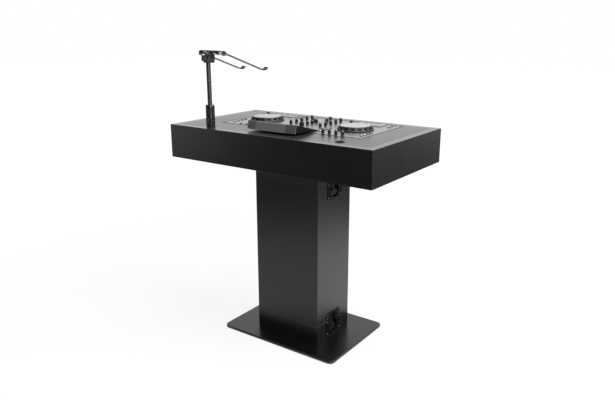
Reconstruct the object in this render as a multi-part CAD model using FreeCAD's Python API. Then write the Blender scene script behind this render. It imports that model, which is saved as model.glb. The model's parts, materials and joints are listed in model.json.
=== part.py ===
"""A DJ booth: table box on a latched column, a controller let into the top, and a laptop stand.

Millimetres. +X runs along the table, -Y is the audience side, +Y the performer's side, +Z is up.
The origin is on the floor under the middle of the table.
"""
import FreeCAD, Part
import math
import os

V = FreeCAD.Vector
X_AXIS = V(1, 0, 0)
Y_AXIS = V(0, 1, 0)
Z_AXIS = V(0, 0, 1)
HALF_TURN = 180.0
UPRIGHT_SHARE = 0.9      # an edge counts as lying along an axis above this share of its direction
OVERRUN = 2.0            # how far a cut runs past the face it opens
RUNNING_GAP = 0.1        # radial room of a shaft in its hole
LOOSE_GAP = 0.4          # room between pieces that move past each other
SEAT_GAP = 0.3           # room round a piece that drops into a cut-out

# Table box
TABLE_LENGTH = 1050.0
TABLE_DEPTH = 600.0
TABLE_HEIGHT = 150.0
TABLE_BOARD = 36.0
TABLE_FLOOR_BOARD = 18.0
EDGE_RADIUS = 1.6        # eased outer corners of all boards
INSERT_BOARD = 18.0
INSERT_SEAM = 1.2        # shadow line between the insert and the rim
LEDGE_WIDTH = 16.0
LEDGE_HEIGHT = 22.0

# Column, plinth, collar and base
COLUMN_WIDTH = 340.0
COLUMN_DEPTH = 262.0
COLUMN_BOARD = 16.0
PLINTH_HEIGHT = 84.0
COLUMN_HEIGHT = 655.0
COLLAR_HEIGHT = 78.0
LOCATOR_HEIGHT = 36.0
LOCATOR_WALL = 12.0
BASE_WIDTH = 620.0
BASE_DEPTH = 450.0
BASE_PLATE = 10.0
BASE_CORNER = 25.0
BASE_EASE = 1.5
FOOT_HEIGHT = 3.0
FOOT_RADIUS = 20.0
FOOT_INSET = 45.0
BRACKET_LEG = 38.0
BRACKET_PLATE = 4.0
BRACKET_LENGTH = 50.0
BRACKET_OFFSET = 85.0    # bracket centre from the booth's middle plane

# Recessed latches: heights are counted from the seam that the latch closes
LATCH_WIDTH = 112.0
DISH_HEIGHT = 74.0
KEEPER_HEIGHT = 34.0
LATCH_PLATE = 1.5
LATCH_CORNER = 4.0
WELL_RADIUS = 34.5
WELL_DEPTH = 13.0
WELL_WALL = 1.2
CHANNEL_WIDTH = 23.0
KEEPER_POCKET = 25.0     # length of the keeper's pocket above the seam
CATCH_START = 8.0        # lower edge of the catch bar above the seam
CATCH_WIDTH = 4.0
CATCH_THICKNESS = 5.0
HOOK_PLATE = 2.5
HOOK_TONGUE = 20.0
HOOK_LIP = 3.0
HOOK_LIP_RISE = 6.0
YOKE_BORDER = 6.0
CAM_RADIUS = 9.0
CAM_THROW = 3.0          # eccentricity; the hook travels twice this
CAM_PLAY = 1.0
ROTOR_RADIUS = 14.0
ROTOR_PLATE = 2.5
ROTOR_AXLE = 3.0
EAR_WIDTH = 3.0
EAR_RADIUS = 3.4
EAR_SPREAD = 17.0        # room between the ears for the wing's barrel
WING_PIN = 1.5
WING_RADIUS = 29.0
WING_PLATE = 3.0
WING_BARREL = 3.0
WING_NECK = 14.0
WING_NOTCH = 7.0
WING_START = 4.4         # where the full-width wing begins, from its axis

# Laptop stand
STAND_END_MARGIN = 185.0   # stand axis from the table's end
STAND_SIDE_MARGIN = 70.0   # stand axis from the table's audience side
SOCKET_FLANGE_RADIUS = 19.0
SOCKET_FLANGE = 2.0
SOCKET_RADIUS = 15.0
SOCKET_BORE = 12.6
SOCKET_DEPTH = 62.0
SOCKET_FLOOR = 4.0
SPIGOT_RADIUS = 12.5
SPIGOT_LENGTH = 58.0
SLEEVE_RADIUS = 20.0
SLEEVE_HEIGHT = 43.0
SLEEVE_NECK_RADIUS = 14.0
SLEEVE_NECK_HEIGHT = 28.0
GRIP_BAND = 26.0
GRIP_DEPTH = 0.8
GRIP_FLUTES = 20
GRIP_FLUTE_RADIUS = 1.6
CLUTCH_HEIGHT = 48.0
CLUTCH_GROOVE = 1.0
CLUTCH_SHOULDER = 7.0
POLE_RADIUS = 10.0
POLE_WALL = 2.0
POLE_TOP = 274.0         # top of the bare pole above the table top
POLE_GRIPPED = 76.0      # length of pole inside the clutch and sleeve
HEAD_WIDTH = 30.0
HEAD_SLOT = 13.0
HEAD_REACH = 14.0        # tilt axis in front of the pole axis
HEAD_RISE = 27.0         # tilt axis above the bottom of the head
HEAD_BACK = 13.0         # back of the head behind the pole axis
HEAD_CHEEK_RADIUS = 12.0
HEAD_ROUND = 8.0
HEAD_SHOULDER = 14.0     # height of the head behind the pole
POLE_SEAT = 7.0          # how far the pole enters the head
LUG_RADIUS = 10.0
LUG_WIDTH = 12.4
LUG_NECK = 15.0
TILT_BOLT = 3.0
LEVER_HUB_RADIUS = 9.0
LEVER_HUB = 9.0
LEVER_LENGTH = 24.0
LEVER_ROOT = 20.0
LEVER_TIP = 27.0
LEVER_THICKNESS = 11.0
LEVER_ROUND = 2.75
LEVER_DROP = 9.0        # middle of the lever's wing below the tilt axis
TILT_CAP_RADIUS = 8.0
TILT_CAP = 4.0
CRADLE_TILT = 18.2       # slope of the plate at rest, in degrees
CRADLE_WIDTH = 122.0
CRADLE_LENGTH = 62.0
CRADLE_PLATE = 4.0
CRADLE_CORNER = 8.0
CRADLE_LIFT = 20.0       # plate's underside from the tilt axis
CRADLE_BACK = 8.0        # plate's back edge behind the tilt axis
BOSS_WIDTH = 50.0
BOSS_LENGTH = 34.0
BOSS_HEIGHT = 6.0
ARM_SPREAD = 138.0
ARM_PIVOT = 8.0          # pivot in front of the tilt axis, along the plate
ARM_EYE = 9.0
ARM_WIDTH = 18.0
ARM_PLATE = 3.6
ARM_LENGTH = 268.0
ARM_HOOK_RADIUS = 26.0
ARM_HOOK_TURN = 68.0     # degrees
PIVOT_BOLT = 2.5
PIVOT_HEAD_RADIUS = 6.0
PIVOT_HEAD = 2.0
PIVOT_NUT_RADIUS = 7.5
PIVOT_NUT = 9.0

# Controller: setbacks are counted from the panel's audience-side edge and drawn for LAYOUT_DEPTH
PANEL_LENGTH = 732.0
PANEL_BACK_MARGIN = 179.0    # table edge to panel on the audience side
PANEL_FRONT_MARGIN = 57.0    # table edge to panel on the performer's side
LAYOUT_DEPTH = 364.0
PANEL_PLATE = 4.0
PANEL_CORNER = 6.0
PANEL_SEAM = 2.0
CHASSIS_HEIGHT = 56.0
CHASSIS_WALL = 3.0
CHASSIS_INSET = 4.0
RAIL_WIDTH = 40.0
RAIL_OFFSET = 230.0
HOOD_LENGTH = 254.0
HOOD_OVERHANG = 115.0    # how far the hood reaches behind the panel at its foot
HOOD_REACH = 59.0        # how far it lies over the panel
HOOD_HEIGHT = 43.0
HOOD_CLEAR = 8.5         # room between the hood and the table top
HOOD_NOSE = 2.0
HOOD_LEAN = 8.0         # how far the rear face leans in from its foot to its top edge
HOOD_FACE_LENGTH = 156.0
HOOD_FACE_STEP = 6.0
HOOD_FACE_SLANT = 48.0
SCREEN_LENGTH = 222.0
SCREEN_DEPTH = 128.0
SCREEN_GLASS = 2.5
SCREEN_PROUD = 0.6
DECK_X = 241.0
DECK_SETBACK = 169.0
JOG_RADIUS = 80.0
JOG_TOP_RADIUS = 67.0
JOG_HEIGHT = 20.0
JOG_FOOT = 4.0           # height of the straight foot of the rim
JOG_NOTCHES = 16
JOG_NOTCH_WIDTH = 17.0
JOG_NOTCH_DEPTH = 5.0
JOG_NOTCH_HEIGHT = 9.0
JOG_AXLE = 8.0
JOG_AXLE_LENGTH = 26.0
JOG_PLATE_RADIUS = 65.0
JOG_PLATE = 2.0
KNOB_RADIUS = 6.0
KNOB_TIP_RADIUS = 5.2
KNOB_HEIGHT = 20.0
KNOB_SKIRT_RADIUS = 7.6
KNOB_SKIRT = 3.0
KNOB_SHAFT = 3.0
KNOB_SHAFT_LENGTH = 10.0
KNOB_MARK = 1.2
BROWSE_RADIUS = 10.0
MIXER_COLUMN = 80.0      # knob columns from the mixer's middle
EQ_SETBACK = 181.0
EQ_PITCH = 42.0
BROWSE_SETBACK = 111.0
STRIP_SETBACK = 17.0
STRIP_X = 176.0
STRIP_PITCH = 32.0
STRIP_KNOBS = 4
MIDDLE_KNOB_SETBACK = 155.0
MIDDLE_KNOBS = 3
MIDDLE_KNOB_PITCH = 36.0
FADER_STEM = 2.0
FADER_STEM_LENGTH = 6.0
FADER_STEM_DEPTH = 12.0
FADER_SLOT = 2.6
FADER_CAP_WIDTH = 14.0
FADER_CAP_LENGTH = 9.0
FADER_CAP_HEIGHT = 15.0
FADER_CAP_DISH = 6.0     # radius of the finger hollow on the cap
FADER_CAP_SINK = 1.5
CHANNEL_X = 28.0
CHANNEL_SETBACK = 257.0
CHANNEL_STAGGER = 12.0   # the two channel faders stand this far either side of their middle
CHANNEL_TRAVEL = 30.0
CROSSFADER_SETBACK = 343.0
CROSSFADER_TRAVEL = 24.0
TEMPO_OFFSET = -98.0
TEMPO_SETBACK = 297.0
TEMPO_TRAVEL = 40.0
PAD_LENGTH = 30.0
PAD_DEPTH = 26.0
PAD_HEIGHT = 3.0
PAD_PITCH_X = 35.0
PAD_PITCH_Y = 31.0
PAD_FIRST_X = -66.0      # from the deck's middle
PAD_SETBACK = 305.0
PAD_COLUMNS = 4
PAD_ROWS = 2
PAD_CORNER = 3.0
PLAY_RADIUS = 13.0
PLAY_OFFSET = 96.0
PLAY_SETBACK = 305.0
PLAY_PITCH = 34.0
PLAY_BUTTONS = 2
BUTTON_HEIGHT = 3.0
SIDE_BUTTON_RADIUS = 6.0
SIDE_BUTTON_OFFSET = 100.0
SIDE_BUTTON_SETBACK = 51.0
SIDE_BUTTON_PITCH = 26.0
SIDE_BUTTONS = 4
BUTTON_EASE = 0.8

# Heights and places that follow from the sizes above
BASE_TOP = FOOT_HEIGHT + BASE_PLATE
LOWER_SEAM = BASE_TOP + PLINTH_HEIGHT
UPPER_SEAM = LOWER_SEAM + COLUMN_HEIGHT
TABLE_BOTTOM = UPPER_SEAM + COLLAR_HEIGHT
TABLE_TOP = TABLE_BOTTOM + TABLE_HEIGHT
FLOOR_TOP = TABLE_BOTTOM + TABLE_FLOOR_BOARD
INSERT_BOTTOM = TABLE_TOP - INSERT_BOARD
PANEL_BOTTOM = TABLE_TOP - PANEL_PLATE
CHASSIS_BOTTOM = PANEL_BOTTOM - CHASSIS_HEIGHT
PANEL_BACK = PANEL_BACK_MARGIN - TABLE_DEPTH / 2
PANEL_FRONT = TABLE_DEPTH / 2 - PANEL_FRONT_MARGIN
LAYOUT_SCALE = (PANEL_FRONT - PANEL_BACK) / LAYOUT_DEPTH
HOOD_BACK = PANEL_BACK - HOOD_OVERHANG
HOOD_TIP = PANEL_BACK + HOOD_REACH
STAND_X = STAND_END_MARGIN - TABLE_LENGTH / 2
STAND_Y = STAND_SIDE_MARGIN - TABLE_DEPTH / 2
WELL_CENTRE = -DISH_HEIGHT / 2
HOOK_BOTTOM = -WELL_DEPTH + LOOSE_GAP
HOOK_TOP = HOOK_BOTTOM + HOOK_PLATE
ROTOR_BOTTOM = HOOK_TOP + LOOSE_GAP
WING_AXIS = ROTOR_BOTTOM + ROTOR_PLATE + LOOSE_GAP + WING_BARREL
SLEEVE_BOTTOM = TABLE_TOP + SOCKET_FLANGE
CLUTCH_BOTTOM = SLEEVE_BOTTOM + SLEEVE_HEIGHT + CLUTCH_GROOVE
CLUTCH_TOP = CLUTCH_BOTTOM + CLUTCH_HEIGHT
HEAD_BOTTOM = TABLE_TOP + POLE_TOP
TILT_Y = STAND_Y + HEAD_REACH
TILT_Z = HEAD_BOTTOM + HEAD_RISE


def block(x_range, y_range, z_range):
    """A box between pairs of limits."""
    lengths = [high - low for low, high in (x_range, y_range, z_range)]
    return Part.makeBox(*lengths, V(x_range[0], y_range[0], z_range[0]))


def span(centre, length):
    """The two limits of a length about its middle."""
    return (centre - length / 2, centre + length / 2)


def rod(radius, start, length, axis=Z_AXIS):
    """A cylinder from a start point along an axis."""
    return Part.makeCylinder(radius, length, start, axis)


def prism(points, direction):
    """A closed polygon swept along a vector."""
    return Part.Face(Part.makePolygon(points + points[:1])).extrude(direction)


def turned(points):
    """A solid of revolution about the Z axis from radius and height pairs."""
    profile = [V(radius, 0, height) for radius, height in points]
    face = Part.Face(Part.makePolygon(profile + profile[:1]))
    return face.revolve(V(), Z_AXIS, 2 * HALF_TURN)


def edges_along(shape, axis):
    """The edges of a shape that lie along an axis."""
    return [edge for edge in shape.Edges if abs(edge.tangentAt(edge.FirstParameter) * axis) > UPRIGHT_SHARE]


def round_plate(x_range, y_range, z_range, corner, axis=Z_AXIS):
    """A flat plate whose corners are rounded about an axis."""
    plate = block(x_range, y_range, z_range)
    return plate.makeFillet(corner, edges_along(plate, axis))


def fuse(shapes):
    """One solid from touching shapes."""
    return shapes[0].multiFuse(shapes[1:]).removeSplitter()


def moved(shape, x, y, z):
    """A copy of a shape, shifted."""
    copy = shape.copy()
    copy.translate(V(x, y, z))
    return copy


def save(node, shapes):
    """Write the separate solids of one node to its file."""
    solids = [solid for shape in shapes for solid in shape.Solids]
    shape = solids[0] if len(solids) == 1 else Part.makeCompound(solids)
    shape.exportStep(f"parts/{node}.step")
    print(node, len(solids), all(solid.isValid() for solid in solids))


def mitred_boards(length, depth, wall, low, high):
    """Four boards mitred into a rectangle: the two long ones, then the two ends."""
    outer = block(span(0, length), span(0, depth), (low, high))
    outer = outer.makeFillet(EDGE_RADIUS, outer.Edges)
    room = [span(0, size - 2 * wall) for size in (length, depth)]
    ring = outer.cut(block(*room, (low - OVERRUN, high + OVERRUN)))

    def corner(right, front, offset):
        return V(right * (length / 2 + offset), front * (depth / 2 + offset), low - OVERRUN)

    def sector(first, second):
        inner = -wall - OVERRUN
        outside = [corner(*first, OVERRUN), corner(*second, OVERRUN)]
        points = outside + [corner(*second, inner), corner(*first, inner)]
        return ring.common(prism(points, V(0, 0, high - low + 2 * OVERRUN)))

    long_boards = [sector((-1, front), (1, front)) for front in (-1, 1)]
    end_boards = [sector((right, -1), (right, 1)) for right in (-1, 1)]
    return long_boards, end_boards


def on_side(shape, side, seam):
    """A latch shape set on the right (1) or left (-1) column face at a seam's height."""
    copy = shape.copy()
    if side < 0:
        copy.rotate(V(), Z_AXIS, HALF_TURN)
    return moved(copy, side * COLUMN_WIDTH / 2, 0, seam)


def dish_cutter():
    """The hole that a latch dish needs in its board, which also opens the board's edge."""
    room = WELL_WALL + SEAT_GAP
    depth = (-COLUMN_BOARD - OVERRUN, OVERRUN)
    well = rod(WELL_RADIUS + room, V(depth[0], 0, WELL_CENTRE), depth[1] - depth[0], X_AXIS)
    return fuse([well, block(depth, span(0, CHANNEL_WIDTH + 2 * room), (WELL_CENTRE, OVERRUN))])


def keeper_cutter():
    """The hole that a keeper's pocket needs in its board."""
    room = WELL_WALL + SEAT_GAP
    width = span(0, CHANNEL_WIDTH + 2 * room)
    return block((-COLUMN_BOARD - OVERRUN, OVERRUN), width, (-OVERRUN, KEEPER_POCKET + room))


def build_base():
    """Steel base plate on four rubber feet."""
    plate = round_plate(span(0, BASE_WIDTH), span(0, BASE_DEPTH), (FOOT_HEIGHT, BASE_TOP), BASE_CORNER)
    flats = [face for face in plate.Faces if abs(face.normalAt(0, 0).z) > UPRIGHT_SHARE]
    rims = [edge for face in flats for edge in face.Edges]
    save("base_plate", [plate.makeChamfer(BASE_EASE, rims)])
    x, y = BASE_WIDTH / 2 - FOOT_INSET, BASE_DEPTH / 2 - FOOT_INSET
    feet = [rod(FOOT_RADIUS, V(i * x, j * y, 0), FOOT_HEIGHT) for i in (-1, 1) for j in (-1, 1)]
    save("base_feet", feet)


def build_column():
    """Plinth, column and collar boards with their latch cut-outs, and the pieces inside them."""
    size = (COLUMN_WIDTH, COLUMN_DEPTH, COLUMN_BOARD)
    plinth_faces, plinth_sides = mitred_boards(*size, BASE_TOP, LOWER_SEAM)
    column_faces, column_sides = mitred_boards(*size, LOWER_SEAM, UPPER_SEAM)
    collar_faces, collar_sides = mitred_boards(*size, UPPER_SEAM, TABLE_BOTTOM)
    seams = (LOWER_SEAM, UPPER_SEAM)
    for index, side in enumerate((-1, 1)):
        lower_dish, upper_dish = [on_side(dish_cutter(), side, seam) for seam in seams]
        lower_keeper, upper_keeper = [on_side(keeper_cutter(), side, seam) for seam in seams]
        plinth_sides[index] = plinth_sides[index].cut(lower_dish)
        column_sides[index] = column_sides[index].cut(lower_keeper).cut(upper_dish)
        collar_sides[index] = collar_sides[index].cut(upper_keeper)
    save("plinth_boards", plinth_faces + plinth_sides)
    save("column_face_panels", column_faces)
    save("column_side_panels", column_sides)
    save("collar_boards", collar_faces + collar_sides)
    build_column_inside()


def build_column_inside():
    """Frames that line up the boards at both seams, and the angle brackets at both ends."""
    half_x, half_y = COLUMN_WIDTH / 2 - COLUMN_BOARD, COLUMN_DEPTH / 2 - COLUMN_BOARD
    frames = []
    for seam in (LOWER_SEAM, UPPER_SEAM):
        height = span(seam, LOCATOR_HEIGHT)
        ring = block((-half_x, half_x), (-half_y, half_y), height)
        inner_x, inner_y = half_x - LOCATOR_WALL, half_y - LOCATOR_WALL
        opening = (height[0] - OVERRUN, height[1] + OVERRUN)
        frames.append(ring.cut(block((-inner_x, inner_x), (-inner_y, inner_y), opening)))
    save("locating_frames", frames)

    brackets = []
    for foot, up in ((BASE_TOP, 1), (TABLE_BOTTOM, -1)):
        for back in (-1, 1):
            legs = [(0, 0), (BRACKET_LEG, 0), (BRACKET_LEG, BRACKET_PLATE), (BRACKET_PLATE, BRACKET_PLATE),
                    (BRACKET_PLATE, BRACKET_LEG), (0, BRACKET_LEG)]
            for middle in (-BRACKET_OFFSET, BRACKET_OFFSET):
                start = middle - BRACKET_LENGTH / 2
                points = [V(start, back * (half_y - reach), foot + up * rise) for reach, rise in legs]
                brackets.append(prism(points, V(BRACKET_LENGTH, 0, 0)))
    save("corner_brackets", brackets)


def panel_room(gap, low, high):
    """A rounded prism of the controller panel's outline, grown by a gap."""
    x_range = span(0, PANEL_LENGTH + 2 * gap)
    return round_plate(x_range, (PANEL_BACK - gap, PANEL_FRONT + gap), (low, high), PANEL_CORNER + gap)


def build_table():
    """Mitred table box with floor, ledges, controller rails and the drop-in top."""
    long_boards, end_boards = mitred_boards(TABLE_LENGTH, TABLE_DEPTH, TABLE_BOARD, TABLE_BOTTOM, TABLE_TOP)
    save("table_long_boards", long_boards)
    save("table_end_boards", end_boards)

    half_x, half_y = TABLE_LENGTH / 2 - TABLE_BOARD, TABLE_DEPTH / 2 - TABLE_BOARD
    save("table_floor", [block((-half_x, half_x), (-half_y, half_y), (TABLE_BOTTOM, FLOOR_TOP))])

    ledge_z = (INSERT_BOTTOM - LEDGE_HEIGHT, INSERT_BOTTOM)
    inner_y = half_y - LEDGE_WIDTH
    long_ledges = ((-half_y, -inner_y), (inner_y, half_y))
    battens = [block((-half_x, half_x), y_range, ledge_z) for y_range in long_ledges]
    for x_range in ((-half_x, LEDGE_WIDTH - half_x), (half_x - LEDGE_WIDTH, half_x)):
        battens.append(block(x_range, (-inner_y, inner_y), ledge_z))
    rail_y = (PANEL_BACK + CHASSIS_INSET, PANEL_FRONT - CHASSIS_INSET)
    for middle in (-RAIL_OFFSET, RAIL_OFFSET):
        battens.append(block(span(middle, RAIL_WIDTH), rail_y, (FLOOR_TOP, CHASSIS_BOTTOM)))
    save("support_battens", battens)

    x_range, y_range = [(INSERT_SEAM - half, half - INSERT_SEAM) for half in (half_x, half_y)]
    insert = block(x_range, y_range, (INSERT_BOTTOM, TABLE_TOP))
    insert = insert.cut(panel_room(PANEL_SEAM, INSERT_BOTTOM - OVERRUN, TABLE_TOP + OVERRUN))
    for x in (STAND_X, -STAND_X):
        start = V(x, STAND_Y, INSERT_BOTTOM - OVERRUN)
        insert = insert.cut(rod(SOCKET_RADIUS + RUNNING_GAP, start, INSERT_BOARD + 2 * OVERRUN))
    save("insert_plate", [insert])


def latch_dish():
    """Recessed dish with a round well, and a channel up to the seam for the hook."""
    back = -WELL_DEPTH - WELL_WALL
    plate = round_plate((0, LATCH_PLATE), span(0, LATCH_WIDTH), (-DISH_HEIGHT, 0), LATCH_CORNER, X_AXIS)
    well = rod(WELL_RADIUS + WELL_WALL, V(back, 0, WELL_CENTRE), -back, X_AXIS)
    channel = block((back, 0), span(0, CHANNEL_WIDTH + 2 * WELL_WALL), (WELL_CENTRE, 0))
    room = WELL_DEPTH + LATCH_PLATE + OVERRUN
    cavity = fuse([
        rod(WELL_RADIUS, V(-WELL_DEPTH, 0, WELL_CENTRE), room, X_AXIS),
        block((-WELL_DEPTH, room - WELL_DEPTH), span(0, CHANNEL_WIDTH), (WELL_CENTRE, OVERRUN)),
    ])
    axle_start = V(back - OVERRUN, 0, WELL_CENTRE)
    axle_hole = rod(ROTOR_AXLE + RUNNING_GAP, axle_start, WELL_WALL + 2 * OVERRUN, X_AXIS)
    return fuse([plate, well, channel]).cut(cavity).cut(axle_hole)


def latch_keeper():
    """Keeper with a pocket for the hook and a bar across it that the hook's lip catches."""
    plate = round_plate((0, LATCH_PLATE), span(0, LATCH_WIDTH), (0, KEEPER_HEIGHT), LATCH_CORNER, X_AXIS)
    width = CHANNEL_WIDTH + 2 * WELL_WALL
    pocket = block((-WELL_DEPTH - WELL_WALL, 0), span(0, width), (0, KEEPER_POCKET + WELL_WALL))
    cavity = block((-WELL_DEPTH, LATCH_PLATE + OVERRUN), span(0, CHANNEL_WIDTH), (-OVERRUN, KEEPER_POCKET))
    bar_back = HOOK_TOP + LOOSE_GAP
    bar_z = (CATCH_START, CATCH_START + CATCH_WIDTH)
    bar = block((bar_back, bar_back + CATCH_THICKNESS), span(0, width), bar_z)
    return fuse([fuse([plate, pocket]).cut(cavity), bar])


def latch_hook():
    """Sliding plate with a yoke round the cam and a lip behind the catch bar."""
    middle = WELL_CENTRE - CAM_THROW
    window_width = 2 * (CAM_RADIUS + CAM_THROW + LOOSE_GAP)
    window_height = 2 * (CAM_RADIUS + CAM_PLAY)
    thickness = (HOOK_BOTTOM, HOOK_TOP)
    yoke_z = span(middle, window_height + 2 * YOKE_BORDER)
    yoke = block(thickness, span(0, window_width + 2 * YOKE_BORDER), yoke_z)
    past = (HOOK_BOTTOM - OVERRUN, HOOK_TOP + OVERRUN)
    window = block(past, span(0, window_width), span(middle, window_height))
    lip_z = CATCH_START + CATCH_WIDTH + LOOSE_GAP
    tongue = block(thickness, span(0, HOOK_TONGUE), (middle + window_height / 2, lip_z + HOOK_LIP))
    lip = block((HOOK_BOTTOM, HOOK_TOP + HOOK_LIP_RISE), span(0, HOOK_TONGUE), (lip_z, lip_z + HOOK_LIP))
    return fuse([yoke.cut(window), tongue, lip])


def latch_rotor():
    """Turning disc with an axle, an eccentric cam under it, and ears with a pin for the wing."""
    axle_start = -WELL_DEPTH - WELL_WALL
    pieces = [
        rod(ROTOR_AXLE, V(axle_start, 0, WELL_CENTRE), ROTOR_BOTTOM - axle_start, X_AXIS),
        rod(CAM_RADIUS, V(HOOK_BOTTOM, 0, WELL_CENTRE - CAM_THROW), ROTOR_BOTTOM - HOOK_BOTTOM, X_AXIS),
        rod(ROTOR_RADIUS, V(ROTOR_BOTTOM, 0, WELL_CENTRE), ROTOR_PLATE, X_AXIS),
        rod(WING_PIN, V(WING_AXIS, -EAR_SPREAD / 2, WELL_CENTRE), EAR_SPREAD, Y_AXIS),
    ]
    ear_z = span(WELL_CENTRE, 2 * EAR_RADIUS)
    for start in (-EAR_SPREAD / 2 - EAR_WIDTH, EAR_SPREAD / 2):
        pieces.append(rod(EAR_RADIUS, V(WING_AXIS, start, WELL_CENTRE), EAR_WIDTH, Y_AXIS))
        pieces.append(block((ROTOR_BOTTOM, WING_AXIS), (start, start + EAR_WIDTH), ear_z))
    return fuse(pieces)


def latch_wing():
    """Folding half-round wing with two lobes, hinged on the rotor's pin."""
    thickness = span(WING_AXIS, WING_PLATE)
    disc = rod(WING_RADIUS, V(thickness[0], 0, WELL_CENTRE), WING_PLATE, X_AXIS)
    past = (thickness[0] - OVERRUN, thickness[1] + OVERRUN)
    start = WELL_CENTRE - WING_START
    upper = block(past, span(0, 2 * WING_RADIUS + OVERRUN), (start, WELL_CENTRE + WING_RADIUS + OVERRUN))
    notch = rod(WING_NOTCH, V(past[0], 0, WELL_CENTRE - WING_RADIUS), past[1] - past[0], X_AXIS)
    half_barrel = EAR_SPREAD / 2 - LOOSE_GAP
    barrel = rod(WING_BARREL, V(WING_AXIS, -half_barrel, WELL_CENTRE), 2 * half_barrel, Y_AXIS)
    neck = block(thickness, span(0, WING_NECK), (start, WELL_CENTRE))
    bore = rod(WING_PIN + RUNNING_GAP, V(WING_AXIS, -WING_RADIUS, WELL_CENTRE), 2 * WING_RADIUS, Y_AXIS)
    return fuse([disc.cut(upper).cut(notch), barrel, neck]).cut(bore)


def build_latches():
    """Four latches: one at each seam on each side of the column."""
    levels = (("lower", LOWER_SEAM), ("upper", UPPER_SEAM))
    places = [(f"{level}_{hand}", side, seam) for level, seam in levels for hand, side in HANDS]
    save("latch_dishes", [on_side(latch_dish(), side, seam) for _, side, seam in places])
    save("latch_keepers", [on_side(latch_keeper(), side, seam) for _, side, seam in places])
    for name, side, seam in places:
        save(f"latch_hook_{name}", [on_side(latch_hook(), side, seam)])
        save(f"latch_rotor_{name}", [on_side(latch_rotor(), side, seam)])
        save(f"latch_wing_{name}", [on_side(latch_wing(), side, seam)])


def at_stand(shape):
    """A shape built about the Z axis, moved to the laptop stand's axis."""
    return moved(shape, STAND_X, STAND_Y, 0)


def fluted(shape, middle):
    """A grip with a band of upright flutes about a height."""
    reach = SLEEVE_RADIUS + GRIP_FLUTE_RADIUS - GRIP_DEPTH
    flutes = []
    for index in range(GRIP_FLUTES):
        flute = rod(GRIP_FLUTE_RADIUS, V(reach, 0, middle - GRIP_BAND / 2), GRIP_BAND)
        flute.rotate(V(), Z_AXIS, 2 * HALF_TURN * index / GRIP_FLUTES)
        flutes.append(flute)
    return shape.cut(Part.makeCompound(flutes))


def build_stand_tubes():
    """Sockets in the table top, and the sleeve, clutch and pole that stand in one of them."""
    floor = SLEEVE_BOTTOM - SOCKET_DEPTH
    socket = turned([
        (0, floor - SOCKET_FLOOR), (SOCKET_RADIUS, floor - SOCKET_FLOOR), (SOCKET_RADIUS, TABLE_TOP),
        (SOCKET_FLANGE_RADIUS, TABLE_TOP), (SOCKET_FLANGE_RADIUS, SLEEVE_BOTTOM),
        (SOCKET_BORE, SLEEVE_BOTTOM), (SOCKET_BORE, floor), (0, floor)])
    save("stand_sockets", [moved(socket, x, STAND_Y, 0) for x in (STAND_X, -STAND_X)])

    pole_room = POLE_RADIUS + RUNNING_GAP
    sleeve_top = SLEEVE_BOTTOM + SLEEVE_HEIGHT
    neck_top = sleeve_top + SLEEVE_NECK_HEIGHT
    sleeve = turned([
        (pole_room, SLEEVE_BOTTOM - SPIGOT_LENGTH), (SPIGOT_RADIUS, SLEEVE_BOTTOM - SPIGOT_LENGTH),
        (SPIGOT_RADIUS, SLEEVE_BOTTOM), (SLEEVE_RADIUS, SLEEVE_BOTTOM), (SLEEVE_RADIUS, sleeve_top),
        (SLEEVE_NECK_RADIUS, sleeve_top), (SLEEVE_NECK_RADIUS, neck_top), (pole_room, neck_top)])
    save("stand_sleeve", [at_stand(fluted(sleeve, SLEEVE_BOTTOM + SLEEVE_HEIGHT / 2))])

    grip = rod(SLEEVE_RADIUS, V(0, 0, CLUTCH_BOTTOM), CLUTCH_HEIGHT)
    top_edges = [edge for edge in grip.Edges if edge.CenterOfMass.z > CLUTCH_TOP - OVERRUN and edge.Closed]
    grip = grip.makeFillet(CLUTCH_SHOULDER, top_edges)
    start = V(0, 0, CLUTCH_BOTTOM - OVERRUN)
    grip = grip.cut(rod(POLE_RADIUS + LOOSE_GAP, start, CLUTCH_HEIGHT + 2 * OVERRUN))
    neck_room = neck_top + LOOSE_GAP - CLUTCH_BOTTOM + OVERRUN
    grip = grip.cut(rod(SLEEVE_NECK_RADIUS + LOOSE_GAP, start, neck_room))
    save("stand_clutch", [at_stand(fluted(grip, CLUTCH_BOTTOM + (CLUTCH_HEIGHT - CLUTCH_SHOULDER) / 2))])

    bottom = V(0, 0, CLUTCH_TOP - POLE_GRIPPED)
    length = HEAD_BOTTOM + POLE_SEAT - bottom.z
    pole = rod(POLE_RADIUS, bottom, length).cut(rod(POLE_RADIUS - POLE_WALL, bottom, length))
    save("stand_pole", [at_stand(pole)])


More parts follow.
